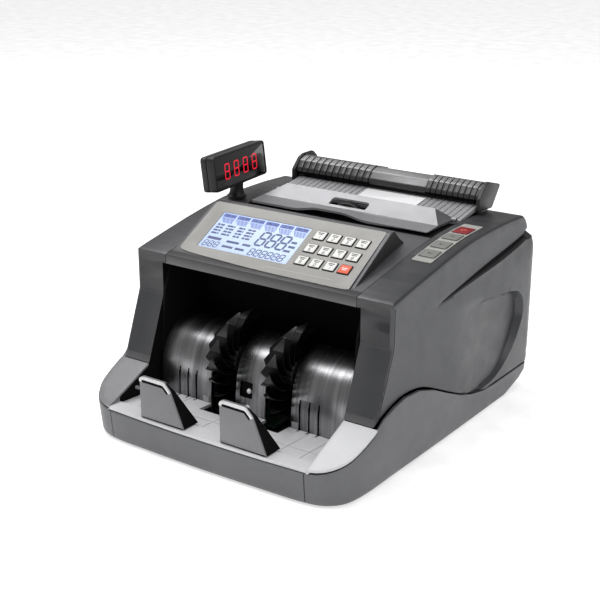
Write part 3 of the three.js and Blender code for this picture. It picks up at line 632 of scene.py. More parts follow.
# Darker grey for the posts' upper front faces: painted shade.
POST_FRONT_SHADE = moulded("post_front_painted_shade", (0.042, 0.042, 0.045), 0.6, metallic=0.3, grain=2200.0)
BAR_CAP = moulded("bar_cap_plastic", (0.045, 0.045, 0.047), 0.42, metallic=0.5, grain=1800.0)
LEAF_BLACK = moulded("leaf_plastic", (0.0015, 0.0015, 0.0015), 0.4, specular=0.14, grain=900.0, wear=0.0)
# Lighter, glossier black for the leaves' outer ends: painted highlight.
LEAF_TIP_HIGHLIGHT = moulded("leaf_tip_painted_highlight", (0.009, 0.009, 0.0095), 0.33, specular=0.42, grain=900.0, wear=0.0)
DISPLAY_BLACK = moulded("display_plastic", (0.008, 0.008, 0.009), 0.4, specular=0.4, grain=1500.0,
                        wear=0.06)
BRIM_SILVER = moulded("brim_plastic", (0.22, 0.22, 0.23), 0.45, metallic=0.2, grain=2400.0)
SIDE_SHEET_PRINT = moulded("side_membrane", (0.33, 0.325, 0.305), 0.5, grain=2600.0, grain_depth=0.12)
# Darker grey for the roof's front strip and header face: painted shade.
HEADER_SHADE = moulded("header_painted_shade", (0.03, 0.03, 0.032), 0.45, metallic=0.3, grain=2200.0)
# Darker grey for the hood's right end: painted shade.
HIP_SHADE = moulded("hip_painted_shade", (0.09, 0.09, 0.095), 0.45, metallic=0.2, grain=2400.0)
# Dark grey for the faces inside the side covers' grooves: painted shade.
GROOVE_SHADE = moulded("groove_painted_shade", (0.026, 0.026, 0.028), 0.8, specular=0.2, wear=0.0)
INK = moulded("lcd_ink", (0.02, 0.04, 0.17), 0.4, wear=0.0)
PALE_INK = moulded("lcd_pale_ink", (0.04, 0.1, 0.42), 0.4, wear=0.0)
# Dark print for legends and the side keys' borders, also painted shade on the console keys' sides.
PRINT_AND_SHADE = moulded("dark_print_and_painted_shade", (0.06, 0.06, 0.06), 0.5, wear=0.0)
RED_LIGHT = glowing("lit_segment", (0.75, 0.008, 0.03), 0.8)
# A pale strip along the membrane's bowed front edge.
BORDER = moulded("pale_border_strip", (0.4, 0.39, 0.37), 0.45, wear=0.0)
# Matt black, used mostly as painted shadow where a place lies in shade.
SHADOW_BLACK = moulded("matt_black_and_painted_shadow", (0.004, 0.004, 0.004), 0.9, wear=0.0, specular=0.1)

add_studio()
add_camera()
for subpart in frame["record"]["subparts"]:
    mesh = frame["nodes"][subpart["node"]].data
    mesh.materials.clear()
    mesh.materials.append(PAINT[subpart["material_slot"]])
# The steel frame plates inside the mouth take black: painted shadow.
for plate_name in ("left_frame_plate", "right_frame_plate"):
    frame["nodes"][plate_name].data.materials[0] = SHADOW_BLACK


# ---- base ----
PLAN = smooth([(0, -142), (46, -141.2), *PLAN_SIDE, *[(-x, y) for x, y in reversed(PLAN_SIDE)],
               (-46, -141.2)],
              4, closed=True)


def base_top(y):
    """The height of the base's upper edge on the sides: the wing, the S-shaped seam, then the rear seam."""
    if y < WING_REAR[0]:
        return 24.6 + (44 - 24.6) * max(0.0, (y - WING_FRONT[0]) / (WING_REAR[0] - WING_FRONT[0]))
    return between(BASE_LINE, y) - 0.4


BASE_LINE = [(-94.3, 44.4), (-92.6, 49.2), *smooth(BASE_TOP_LINE, 4)[1:], (150, REAR_SEAM_Z)]


def base_wall(point, normal, z, inward=0.0):
    """A point of the base's outer wall: it leans in towards the bottom and rounds under."""
    lean = 2.2 * max(0.0, 24.6 - z) / 23 + 1.4 * max(0.0, (5 - z) / 3.4)**2 + inward
    x, y = point[0] - normal[0] * lean, point[1] - normal[1] * lean
    x = math.copysign(soft_low(abs(x), between(SIDE_LIMIT, z) - inward), x)
    return (x, min(y, between(REAR_LIMIT, z) - inward), z)


def with_seams(line, seams, half=0.45):
    """The plan with a narrow groove at each seam's x on the front, and how deep each point is cut in."""
    marked = [(p, 0.0) for p in line]
    for seam in seams:
        for i, ((a, _), (b, _)) in enumerate(zip(marked, marked[1:])):
            if a[1] < -120 and b[1] < -120 and min(a[0], b[0]) < seam < max(a[0], b[0]):
                rise = (b[1] - a[1]) / (b[0] - a[0])
                way = math.copysign(1, b[0] - a[0])
                grooved = [(seam + way * dx, a[1] + rise * (seam + way * dx - a[0])) for dx in
                           (-half, -half / 3, half / 3, half)]
                marked[i + 1:i + 1] = list(zip(grooved, (0.0, 0.7, 0.7, 0.0)))
                break
    return marked


def base_tub():
    """The base's shell: rings up the outside, over the upper edge and down the inside."""
    marked = with_seams(PLAN, (-86.0, 86.0))
    line = [p for p, _ in marked]
    ahead, behind = [*line[1:], line[0]], [line[-1], *line[:-1]]
    out = [Vector((b[1] - a[1], a[0] - b[0])).normalized() for a, b in zip(behind, ahead)]
    tops = [base_top(y) if y > WING_FRONT[0] + 1 or abs(x) > 100 else 24.6 for x, y in line]

    def ring(height, inward):
        return [base_wall(p, n, height(top), inward + cut) for (p, cut), n, top in zip(marked, out, tops)]

    low = [1.6, 1.9, 2.4, 3.2, 4.4, 6.2, 9.6, 14.0, 19.0]
    rings = [ring(lambda top, z=z: min(z, top - 0.6), 0) for z in low]
    rings += [ring(lambda top, t=t: 19 + (top - 0.7 - 19) * t, 0) for t in (0.25, 0.5, 0.75, 1)]
    lip = ((0.25, 0.12), (0, 0.5), (0, WALL - 0.5))
    rings += [ring(lambda top, d=d: top - d, inward) for d, inward in lip]
    rings += [ring(lambda top, d=d: top - d, WALL) for d in (0.5, 3)]
    rings += [ring(lambda top: 6.2, WALL + 0.6)]
    piece("base_tub", Shape().loft(rings), "chassis", "body_grey", paint=BASE_GREY,
          stands_for=["lower_housing"], angle=40)


# ---- note tray ----
WING_SLOPE = (WING_REAR[1] - WING_FRONT[1]) / (WING_REAR[0] - WING_FRONT[0])


def wing_z(x, y):
    return WING_FRONT[1] + max(0.0, y - WING_FRONT[0]) * WING_SLOPE


def tray_wing(side):
    """A sloping wing beside the pocket, whose outer edge follows the base's plan."""
    front = [p for p in inset(PLAN, 0.9) if p[0] > MOUTH_HALF and p[1] < WING_REAR[0] - 0.6]
    front.sort(key=lambda p: p[1])
    rear = WING_REAR[0] - 0.1
    outline = [(MOUTH_HALF + 0.15, front[0][1] - 0.2), *front, (front[-1][0], rear),
               (MOUTH_HALF + 0.15, rear)]
    shape = plate(outline, wing_z, lambda x, y: wing_z(x, y) - 2.0, 5.0)
    return shape.bent(lambda x, y, z: (side * x, y, z))


def bowed(x, y):
    """The lip's front edge follows the base's bowed plan."""
    front = 142 - 2.6 * (abs(x) / 88)**2
    return -front + 0.9 + (y - (FRONT_Y + 0.9)) if y < -138 else y


def tray_cuts():
    """The wheels' slots, the stops' tracks, fine grooves, notches at the guides' feet and a cross crease."""
    slots = [slab((x - 10.5, x + 10.5), (-99, -80), (10, 40), 0) for x in (-25, 25)]
    tracks = [slab((x - 1.5, x + 1.5), (-134.3, -115), (10, 40), 0) for x in (-36, 36)]

    def groove(x, y, z):
        return x, y, z + (-84.6 - y) * 2.4 / 41.6 - 0.35 if z < 30 else z

    grooves = [slab((x - 0.35, x + 0.35), (-126, -84), (23.2 + 0.35, 40), 0).bent(groove)
               for x in (-72, -54, -12, 12, 54, 72)]
    notches = [slab((x - 0.8, x + 0.8), (-88.2, -80), (19, 40), 0) for x in (-66, -58, -50, 44, 52, 60)]
    crease = slab((-90, 90), (-112.4, -111.9), (0, 30), 0)
    return [*slots, *tracks, *grooves, *notches, crease.bent(lambda x, y, z: (x, y, z if z > 5 else 24.35))]


def tray_side(side, name):
    """A wing and its foot step (left side: painted shade), the pocket's painted-shadow wall and the small pin
    in it.
    """
    # The left wing and its step take the darker copy: painted shade.
    piece(f"{name}_wing", tray_wing(side), "chassis", "light_grey", paint=WING_PLAIN_AND_SHADED[name], bevel=0.35)
    sides = (side * (MOUTH_HALF + 0.15), side * (MOUTH_HALF + 1.8))
    ahead = [(-139.2, 25.0), (-127.3, 25), (-127.3, 30.2), (-138.8, 25.4)]
    behind = [(-127.2, 20.8), (-94.9, 21), (-94.9, 44.2), (-127.2, 30.3)]
    step = extruded(ahead, "x", *sides)
    piece(f"{name}_wing_step", step, "chassis", "light_grey", paint=WING_PLAIN_AND_SHADED[name])
    # The pocket's wall is a black sheet where the pocket lies in shade: painted shadow.
    piece(f"{name}_pocket_wall", extruded(behind, "x", *sides), "chassis", "black", paint=SHADOW_BLACK)
    pin = rod("x", (-109.2, 32.3), 1.4, side * (MOUTH_HALF - 1.6), side * (MOUTH_HALF + 0.6), 0.5, 20)
    piece(f"{name}_sensor_pin", pin, "chassis", "silver")


def tray():
    """The tray's floor with its raised lip, and a wing on each side."""
    lip = [(FRONT_Y + 0.9, 25.2), (FRONT_Y + 0.7, 27.1), (FRONT_Y + 1.1, 27.5), (-127.2, 27.5),
           (-126.9, 27.1), (-126.7, 26.0), (-84.7, 23.6), (-84.7, 21.4), (-126.6, 23.8), (-127.4, 25.2)]
    xs = np.linspace(-MOUTH_HALF, MOUTH_HALF, 41)
    floor_shape = Shape().loft([[(x, bowed(x, y), z) for y, z in lip] for x in xs])
    piece("tray_floor", floor_shape, "chassis", "light_grey", stands_for=["note_tray"], cuts=tray_cuts())
    for side, name in ((-1, "left"), (1, "right")):
        tray_side(side, name)


# ---- note stops ----
def note_stop(node, body):
    """A wedge: a flat face with a painted highlight rim on top, a painted shadow strip under it, and sides in
    painted shade.
    """
    low, high = cad(node)
    left, z, front = low.x, low.z + 4.4, low.y
    height = high.z - z
    face = rounded([(left, z), (left + 40, z), (left + 28.6, z + 26.5), (left + 23.5, high.z - 0.2),
                    (left, high.z)], [0.6, 0.6, 7, 6, 4], 5)

    def back(zz):
        return front + 17 - 13.4 * min(1.0, (zz - z) / (height - 2))

    levels = [(1.0, 0.0), (0.45, 0.12), (0.12, 0.45), (0.0, 1.0)]
    rings = [[(x, front + 0.6 + depth, zz) for x, zz in inset(face, away)] for away, depth in levels]
    rings += [[(x, back(zz) - 0.4, zz) for x, zz in face],
              [(x, back(zz), zz) for x, zz in inset(face, 0.4)]]
    tongue = slab((left + 18.8, left + 21.2), (front + 6, front + 12.6), (23.4, z + 2), 0)
    item = piece(f"{node}_plate", Shape().loft(rings), body, "silver", paint=STOP_SILVER, stands_for=[node])
    carve(item, [tongue], "UNION")
    # Faces behind the front that turn sideways take black: painted shade.
    tinted(item, SHADOW_BLACK,
           lambda place, normal: abs(normal.y) < 0.5 and normal.z < 0.9 and place.y > front + 2)
    ends = [i for i, p in enumerate(face) if p[1] > z + 22]
    # The rim along the top edge is light silver: a painted highlight.
    arch = [face[i] for i in ends]
    rim = band(inset(arch, 0.1, closed=False), -2.3)
    piece(f"{node}_rim", extruded(rim, "y", front + 0.1, front + 1.6, 0.45), body, "silver",
          paint=RIM_HIGHLIGHT, angle=60)
    # A black strip under the rim: painted shadow.
    strip = band(inset(arch, 2.5, closed=False), -1.9)
    piece(f"{node}_strip", extruded(strip, "y", front + 0.48, front + 1.2), body, "black",
          paint=SHADOW_BLACK)


# ---- side covers ----
def cover_limit(y):
    return between(COVER_CURVE, y)


COVER_CURVE = smooth(COVER_LIMIT, 6)
CHEEK = smooth(CHEEK_LINE, 4)
CRESCENT_CURVE = smooth(CRESCENT, 6)
SHOULDER = 2.0


GAP = {"deep": 2.2, "foot": 0.3, "tall": 2.4}


def gap_size(y):
    """The groove over the cheek: nothing at its front tip, full at the rear."""
    return ease(y, -24, 70)


def cover_x(y, z, inside_edge, recess_depth):
    """How far the cover's side stands out: its plan, the step at the cheek and the crescent recess."""
    x = soft_low(cover_limit(y), between(SIDE_LIMIT, z), 0.3)
    cheek, grow = between(CHEEK, y), gap_size(y)
    above = ease(z, cheek - 1.1, cheek - 0.1)
    top = cheek + GAP["foot"] + GAP["tall"] * grow
    groove = ease(z, cheek - 0.4, cheek) * (1 - ease(z, top, top + 0.5))
    x = x + (min(x, 113.2) - x) * above - GAP["deep"] * grow * groove
    x = x + (min(x, 112.2) - x) * recess_depth
    edge = max(0.0, SHOULDER - inside_edge)
    return x - (SHOULDER - math.sqrt(max(0.0, SHOULDER**2 - edge**2)))


def cover_outline():
    seam = [(y, z + 0.2) for y, z in smooth(BASE_TOP_LINE, 4)]
    post = [(WING_REAR[0], WING_REAR[1] + 0.4), *smooth([(-76.2, 93.6), (-75.2, 96.6), (-75, 99.6)], 3)]
    roof = [(-75, 127.2), (-74.6, 128.0), *ROOF[1:]]
    rear = smooth([(114, 146.3), (117.4, 145.2), *REAR_LINE[1:]], 4)
    return resampled([*reversed(seam), *post, *roof, *rear], 5.0)


RECESS_TOP = smooth([(92, 92.2), (62, 95.2), (39, 98.1), (12, 101), (-6, 102)], 5)
RECESS_WALL = 3.2


def crescent_depth(points):
    """0 outside the recess and 1 inside it, with a steep wall at the rear, fading out to the front."""
    front = [(-6, 60), (14, 36), (36, 26)]
    loop = [*CRESCENT_CURVE, *reversed(front), *RECESS_TOP[::-1]]
    keep = within(points, loop)
    wall = np.clip(distance(points, CRESCENT_CURVE, closed=False) / RECESS_WALL, 0, 1)
    top = np.clip(distance(points, RECESS_TOP, closed=False) / 3.0, 0, 1)
    reach = np.clip((points[:, 0] - 4) / 66, 0, 1)
    fade = reach * reach * (3 - 2 * reach)
    return np.where(keep, np.minimum(wall, top) * fade, 0.0)


def in_groove(place):
    y, z = place.y, place.z
    foot, grow = between(CHEEK, y), gap_size(y)
    return (-10 < y < 122 and grow > 0.04 and abs(place.x) > 104
            and foot - 0.3 < z < foot + 0.4 + GAP["tall"] * grow)


POST_LINE = resampled([(WING_REAR[0] + 3.0, 50.4), (-74.0, 93.2), (-73.0, 96.6), (-72.8, 99.6),
                       (-72.8, 124.6)], 4.0,
                      closed=False)


def post_groove():
    """A cutter for the narrow groove down the cover's side, just behind the post's front edge."""
    groove = extruded(band(POST_LINE, 0.8), "x", -0.8, 3)
    return groove.bent(lambda x, y, z: (x + cover_x(y, z, 10, 0), y, z))


def in_post_groove(place):
    """Whether a point lies under the cover's side within the groove beside the post."""
    if abs(place.x) < 105 or not -95 < place.y < -70 or abs(place.x) > cover_x(place.y, place.z, 10, 0) - 0.3:
        return False
    return distance(np.array([(place.y, place.z)]), POST_LINE, closed=False)[0] < 1.0


def cover_lines(outline):
    """The lines that the cover's mesh follows: its rounded shoulder, the crescent recess and the groove."""
    rings = [inset(outline, d) for d in (0.25, 0.7, 1.3, SHOULDER)]
    lines = [[*ring, ring[0]] for ring in rings]
    lines += [inset(CRESCENT_CURVE, d, closed=False) for d in (0, -RECESS_WALL / 2, -RECESS_WALL)]
    lines += [[p for p in inset(RECESS_TOP, d, closed=False) if 10 < p[0] < 90] for d in (0, 3.0)]
    cheek = [p for p in resampled(CHEEK, 3.0, closed=False) if -17 < p[0] < 118]
    levels = [(-1.1, 0), (-0.4, 0), (0, 0), (GAP["foot"] / 2, GAP["tall"] / 2), (GAP["foot"], GAP["tall"]),
              (GAP["foot"] + 0.5, GAP["tall"])]
    return lines + [[(y, z + dz + rise * gap_size(y)) for y, z in cheek] for dz, rise in levels]


def cover_body(outline):
    """The right cover as a solid: its modelled outer skin, a flat inner face and the walls between them."""
    flat, faces = filled(outline, 4.0, lines=cover_lines(outline))
    spots = np.array(flat)
    depth, edge = crescent_depth(spots), distance(spots, outline)
    seam = distance(spots, [(y, z + 0.2) for y, z in smooth(BASE_TOP_LINE, 4)], closed=False)
    edge = np.where(seam < edge + 0.5, np.minimum(SHOULDER, edge * 3), edge)
    skin = [(cover_x(y, z, far, sunk), y, z) for (y, z), far, sunk in zip(flat, edge, depth)]
    inner = [(CENTRE_HALF + 0.4, y, z) for y, z in flat]
    size = len(flat)
    back = [[size + i for i in reversed(face)] for face in faces]
    walls = [[b, a, size + a, size + b] for a, b in rim(faces)]
    return Shape().add(skin + inner, faces + back + walls)


def side_cover(side, name, node, key_holes=()):
    """A side cover, hollowed and opened to the mouth; the left one mirrors the right one."""
    outline = cover_outline()
    cavity = extruded(resampled(inset(outline, WALL), 8.0), "x", CENTRE_HALF - 4, 109.6)
    mouth = slab((CENTRE_HALF - 4, MOUTH_HALF), (-110, -30), (20, MOUTH_TOP), 0)
    item = mesh_item("work", cover_body(outline))
    carve(item, [cavity, mouth, post_groove()])
    if side < 0:
        item.data.transform(Matrix.Scale(-1, 4, (1, 0, 0)))
        item.data.flip_normals()
    carve(item, key_holes)
    item.name = name
    # The faces inside the cheek groove and the post groove take dark grey: painted shade.
    tinted(item, GROOVE_SHADE, lambda place, normal: in_groove(place))
    tinted(item, GROOVE_SHADE, lambda place, normal: in_post_groove(place))
    # The upper post's front faces take a darker grey: painted shade.
    tinted(item, POST_FRONT_SHADE, lambda place, normal: normal.y < -0.97 and place.z > 97)
    # The cover's faces inside the mouth take black: painted shade.
    tinted(item, SHADOW_BLACK, lambda place, normal: abs(place.x) < MOUTH_HALF + 0.1 and place.z < MOUTH_TOP)
    item.data.shade_smooth()
    item.data.set_sharp_from_angle(angle=math.radians(38))
    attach(item, "chassis")
    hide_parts(node)


# ---- top cover, console and keys ----
def on_panel(shape):
    return shape.moved(PANEL)


def top_cover():
    """The header bar over the mouth and the roof behind it, as one curved sheet."""
    profile = [(-75, MOUTH_TOP), (-75, 127.2), (-74.5, 128.1), *[p for p in ROOF if -73 < p[0] < 62],
               (62, roof_z(62)), (62, roof_z(62) - WALL),
               *[(y, z - WALL) for y, z in reversed(ROOF) if -68 < y < 62],
               (-71.4, 126), (-71.4, MOUTH_TOP)]
    half = CENTRE_HALF
    roof = extruded(profile, "x", -half, half, 0.3)
    bay = slab((-60, 60), (27.6, 58), (130, 160), 0)
    seat = slab((-half - 1, half + 1), (24, 70), (146.4, 160), 0)
    scoop = slab((-20, 20), (8.4, 24), (141.2, 160), 0)
    item = piece("roof_panel", roof, "chassis", "roof_grey", stands_for=["top_cover"],
                 cuts=[bay, seat, scoop])
    # The roof's seat floor under the brim is black: painted shadow.
    tinted(item, SHADOW_BLACK,
           lambda place, normal: 24 < place.y < 70 and place.z < 146.5 and normal.z > 0.5)
    # The front strip's upward faces and the header's front face take a darker grey: painted shade.
    tinted(item, HEADER_SHADE, lambda place, normal: place.y < -67 and (normal.z > 0.5 or normal.y < -0.6))
    tub = plate(rounded(rectangle(-21.4, 21.4, 6.6, 25.4), 2), lambda x, y: 141.0, lambda x, y: 139.2)
    # The recess's tub is black: painted shade.
    piece("finger_recess", tub, "chassis", "black", paint=SHADOW_BLACK, bevel=0.3)


def key_places():
    """Each console key's outline in the panel's own plane, from its CAD node."""
    back = PANEL.inverted()
    places = []
    for name in KEY_NAMES:
        middle = back @ centre(name)
        places.append((name, middle.x, middle.y))
    return places


KEY_SIZE = (9.6, 8.8)


def key_outline(x, y, grow=0.0, corner=1.0):
    half = (KEY_SIZE[0] / 2 + grow, KEY_SIZE[1] / 2 + grow)
    return rounded(rectangle(x - half[0], x + half[0], y - half[1], y + half[1]), corner + grow, 3)


def console():
    """The wedge that carries the keypad, with a leaning right wall and a bevelled rear corner."""
    profile = rounded([(-66.4, 128.6), (-66.4, 129.6), (-16.6, 156.5), (-13.2, 157.1), (-9, 156.4),
                       (9, 143.4),
                       (9, 140.6)], [0, 0.4, 1.2, 1.2, 1.2, 0.6, 0], 3)
    wedge = extruded(resampled(profile, 8.0), "x", -83.2, 76.2, 0.6)

    def lean(x, y, z):
        fall = max(0.0, z - 130) * 0.06
        corner = 5.0 * ease(y, -16, 4) * ease(x, 60, 76)
        return (x - fall * ease(x, 0, 76) - corner, y, z)

    cuts = [extruded(key_outline(x, y, 0.35), "z", -8, 4).moved(PANEL) for _, x, y in key_places()]
    (u0, u1), (v0, v1) = LCD["u"], LCD["v"]
    cuts.append(slab((u0 - 0.3, u1 + 0.3), (v0 - 0.3, v1 + 0.3), (-8, 4), 0).moved(PANEL))
    under = [(-62, 127), (-62, 128.6), (-17.4, 152.8), (-10.6, 152.8), (4, 142), (4, 138)]
    cuts.append(extruded(under, "x", -80.4, 70))
    item = piece("console", wedge.bent(lean), "chassis", "roof_grey", cuts=cuts, angle=30)
    # The console's right wall takes near black: painted shade.
    tinted(item, CONSOLE_SHADE, lambda place, normal: normal.x > 0.75 and place.x > 60)


def chin(v):
    """How far the roof stands over the panel's plane at its front edge, where the membrane bends onto it."""
    place = PANEL @ Vector((0, v, 0))
    return max(0.0, (roof_z(place.y) + 0.1 - place.z) * 0.88)


def overlay():
    """The printed membrane with its bowed front edge, window and key holes, and a thin raised border."""
    back = [(71.4, 9), (70, 10.2), (-78.4, 9.6), (-80, 8.4)]
    bow = smooth([(-80, -41), (-76, -42.2), (-40, -44), (0, -44.8), (40, -44.4), (69, -43.2),
                  (72.4, -41.6)], 4)
    front = smooth([(-79.8, -42.4), (-76.4, -44.6), (-40, -47.9), (0, -49.8), (40, -50), (70, -49.6),
                    (73.6, -48.6)], 4)
    edge = [*front, *back]
    (u0, u1), (v0, v1) = LCD["u"], LCD["v"]
    window = rounded(rectangle(u0 - 0.2, u1 + 0.2, v0 - 0.2, v1 + 0.2), 0.8)
    holes = [window, *[key_outline(x, y, 0.35) for _, x, y in key_places()]]
    sheet = plate(edge, lambda x, y: SHEET_TOP - 0.1 + chin(y), lambda x, y: 0.12 + chin(y), 9.0, holes)
    piece("keypad_membrane", on_panel(sheet), "chassis", "overlay", stands_for=["panel_overlay"])
    low_edge = [(x, y + 1.4) for x, y in bow[6:-6]]
    border = plate(band(low_edge, 0.5), lambda x, y: SHEET_TOP + 0.02, lambda x, y: 0.3, 20.0)
    piece("membrane_border", on_panel(border), "chassis", "overlay", paint=BORDER)


KEY_TOP = SHEET_TOP + 0.85
KEY_PRINT = (KEY_TOP - 0.2, KEY_TOP + 0.03)


def key_bar(x, y, wide, half):
    """A printed bar across a key."""
    return slab((x - wide / 2, x + wide / 2), (y - half, y + half), KEY_PRINT, 0)


def key_marks(number, x, y, plain):
    """A key's generic legend: two bars and a small digit, or just two bars."""
    marks = Shape()
    if plain:
        return marks.join(key_bar(x, y + 0.6, 4.8, 0.3)).join(key_bar(x, y - 0.8, 3.2, 0.3))
    marks.join(key_bar(x, y + 2.2, 5.2, 0.42)).join(key_bar(x, y + 0.8, 3.2 if number % 2 else 4.2, 0.42))
    small = digit(number % 10, 1.7, 2.4, 0.5, 0.1)
    return marks.join(small.bent(lambda a, b, c: (x + a, y - 1.9 + b, KEY_PRINT[0] + c * 0.23)))


def key_caps():
    """The twelve console keys, their sides in painted shade; the last one is orange-red with a pale legend.
    """
    for i, (name, x, y) in enumerate(key_places()):
        last = name == KEY_NAMES[-1]
        slot, paint = ("key_orange", PAINT["key_white"]) if last else ("key_white", PRINT_AND_SHADE)
        cap = extruded(key_outline(x, y, -0.45), "z", -1.4, KEY_TOP, 0.5)
        item = piece(f"{name}_cap", on_panel(cap), f"{name}_button", slot, stands_for=[name])
        # The key's sides take the dark print: painted shade.
        tinted(item, PRINT_AND_SHADE, lambda place, normal: normal.dot(PANEL.col[2].to_3d()) < 0.3)
        piece(f"{name}_mark", on_panel(key_marks(i + 1, x, y, last)), f"{name}_button", slot, paint=paint)


# Seven-segment digits: which of top, upper left, upper right, middle, lower left, lower right and bottom
# are lit.
LIT = {0: "1110111", 1: "0010010", 2: "1011101", 3: "1011011", 4: "0111010", 5: "1101011", 6: "1101111",
       7: "1010010", 8: "1111111", 9: "1111011"}


def segment(a, b, thick):
    """A bar with pointed ends from a to b."""
    a, b = Vector(a), Vector(b)
    along = (b - a).normalized()
    across = Vector((-along.y, along.x)) * thick / 2
    shoulder = along * thick / 2
    return [tuple(p) for p in (a, a + shoulder - across, b - shoulder - across, b, b - shoulder + across,
                               a + shoulder + across)]


def digit(value, width, height, thick, slant=0.12, deep=1.0):
    """A seven-segment digit centred on its own origin."""
    w, h, gap = width / 2, height / 2, thick * 0.12
    ends = [((-w, h), (w, h)), ((-w, 0), (-w, h)), ((w, 0), (w, h)), ((-w, 0), (w, 0)), ((-w, -h), (-w, 0)),
            ((w, -h), (w, 0)), ((-w, -h), (w, -h))]
    shape = Shape()
    for (a, b), lit in zip(ends, LIT[value]):
        if lit == "1":
            way = (Vector(b) - Vector(a)).normalized() * gap
            outline = segment(Vector(a) + way, Vector(b) - way, thick)
            shape.join(extruded([(x + slant * y, y) for x, y in outline], "z", 0, deep))
    return shape


def bars(places, low, high):
    """Small printed bars at ((x0, x1), (y0, y1)) places."""
    shape = Shape()
    for x, y in places:
        shape.join(slab(x, y, (low, high), 0))
    return shape


LCD_PRINT = (SHEET_TOP - 0.5, SHEET_TOP - 0.28)
LCD_HEADERS = {"count": 6, "start": 0.018, "pitch": 0.1635, "width": 0.145, "hatches": 9, "hatch": 0.05}
LCD_COLUMNS = [(0.03, 0.11), (0.145, 0.235), (0.28, 0.35), (0.385, 0.47)]
LCD_ROWS = (0.345, 0.425, 0.505, 0.585)
LCD_LABELS = [(0.9, 0.96, 0.44), (0.9, 0.97, 0.56), (0.88, 0.95, 0.68), (0.26, 0.4, 0.74), (0.44, 0.53, 0.74),
              (0.25, 0.37, 0.88), (0.4, 0.5, 0.88)]


def lcd_spot(s0, s1, t0, t1):
    """A place on the display, from shares of its width from the left and of its height from the top."""
    (u0, u1), (v0, v1) = LCD["u"], LCD["v"]
    wide, tall = u1 - u0, v1 - v0
    return (u0 + wide * s0, u0 + wide * s1), (v1 - tall * t1, v1 - tall * t0)


def lcd_headers():
    """The header boxes and the slanting hatching under them, and the dark marks in the boxes."""
    low, high = LCD_PRINT
    width, hatch = LCD_HEADERS["width"], LCD_HEADERS["hatch"]
    dark, pale = Shape(), Shape()
    for i in range(LCD_HEADERS["count"]):
        s = LCD_HEADERS["start"] + i * LCD_HEADERS["pitch"]
        pale.join(bars([lcd_spot(s, s + width, 0.03, 0.125)], low, high))
        marks = [lcd_spot(s + 0.03, s + 0.07, 0.06, 0.1), lcd_spot(s + 0.09, s + 0.125, 0.05, 0.09)]
        dark.join(bars(marks, low, high + 0.02))
        for k in range(LCD_HEADERS["hatches"]):
            x0 = s + width * k / LCD_HEADERS["hatches"]
            run = min(hatch, s + width - x0)
            (a0, a1), (b0, b1) = lcd_spot(x0, x0 + run, 0.14, 0.14 + 0.14 * run / hatch)
            outline = [(a0, b1), (a0 + 0.7, b1), (a1 + 0.7, b0), (a1, b0)]
            pale.join(extruded(outline, "z", low, high))
    return dark, pale


def lcd_labels():
    """Small bars in rows and columns, and a few beside the figures, where the display has its labels."""
    spots = []
    for column, (s0, s1) in enumerate(LCD_COLUMNS):
        for row, t in enumerate(LCD_ROWS):
            cut = (0.35 + 0.13 * ((column * 3 + row * 5) % 4)) * (s1 - s0)
            spots.append(lcd_spot(s0, s0 + cut, t - 0.023, t + 0.023))
            spots.append(lcd_spot(s0 + cut + 0.008, s1, t - 0.023, t + 0.023))
    spots += [lcd_spot(s0, s1, t - 0.028, t + 0.028) for s0, s1, t in LCD_LABELS]
    spots.append(lcd_spot(0.035, 0.19, 0.69, 0.76))
    return bars(spots, *LCD_PRINT)


def lcd_eights(count, s, t, step, size, thick):
    """A row of eights, the first one centred at (s, t)."""
    low, high = LCD_PRINT
    made = Shape()
    for k in range(count):
        (x, _), (_, y) = lcd_spot(s + k * step, s + k * step, t, t)
        made.join(digit(8, size[0], size[1], thick).bent(
            lambda a, b, c, x=x, y=y: (x + a, y + b, low + c * (high - low))))
    return made


def lcd():
    """The backlit window with its header boxes, small labels and figures."""
    (u0, u1), (v0, v1) = LCD["u"], LCD["v"]
    glass = extruded(rounded(rectangle(u0, u1, v0, v1), 0.6), "z", -1.5, SHEET_TOP - 0.35, 0.2)
    piece("lcd_glass", on_panel(glass), "chassis", "lcd", stands_for=["lcd_window"])
    dark, pale = lcd_headers()
    dark.join(lcd_labels())
    dark.join(lcd_eights(3, 0.6, 0.5, 0.115, (6.4, 13.8), 1.75))
    dark.join(lcd_eights(3, 0.055, 0.88, 0.062, (3.3, 5.4), 0.75))
    dark.join(lcd_eights(6, 0.585, 0.875, 0.066, (3.7, 6.4), 0.85))
    piece("lcd_figures", on_panel(dark), "chassis", "lcd", paint=INK)
    piece("lcd_hatching", on_panel(pale), "chassis", "lcd", paint=PALE_INK)


SIDE_SHEET = (cad("side_overlay")[0], cad("side_overlay")[1])


def side_key_places():
    """Each side key's name, middle and outline in plan, from its CAD node."""
    places = []
    for name in SIDE_KEY_NAMES:
        x, y = centre(name).xy
        half_wide, half_long = 6.0, 7.0 if name.endswith("red") else 5.5
        outline = rounded(rectangle(x - half_wide, x + half_wide, y - half_long, y + half_long), 1.0)
        places.append((name, x, y, outline))
    return places


def side_key_prism(x, y, outline, low, high, edge=0.0):
    """A key's outline carried square to the roof at the key's place."""
    return extruded([(a - x, b - y) for a, b in outline], "z", low, high, edge).moved(roof_frame(x, y))


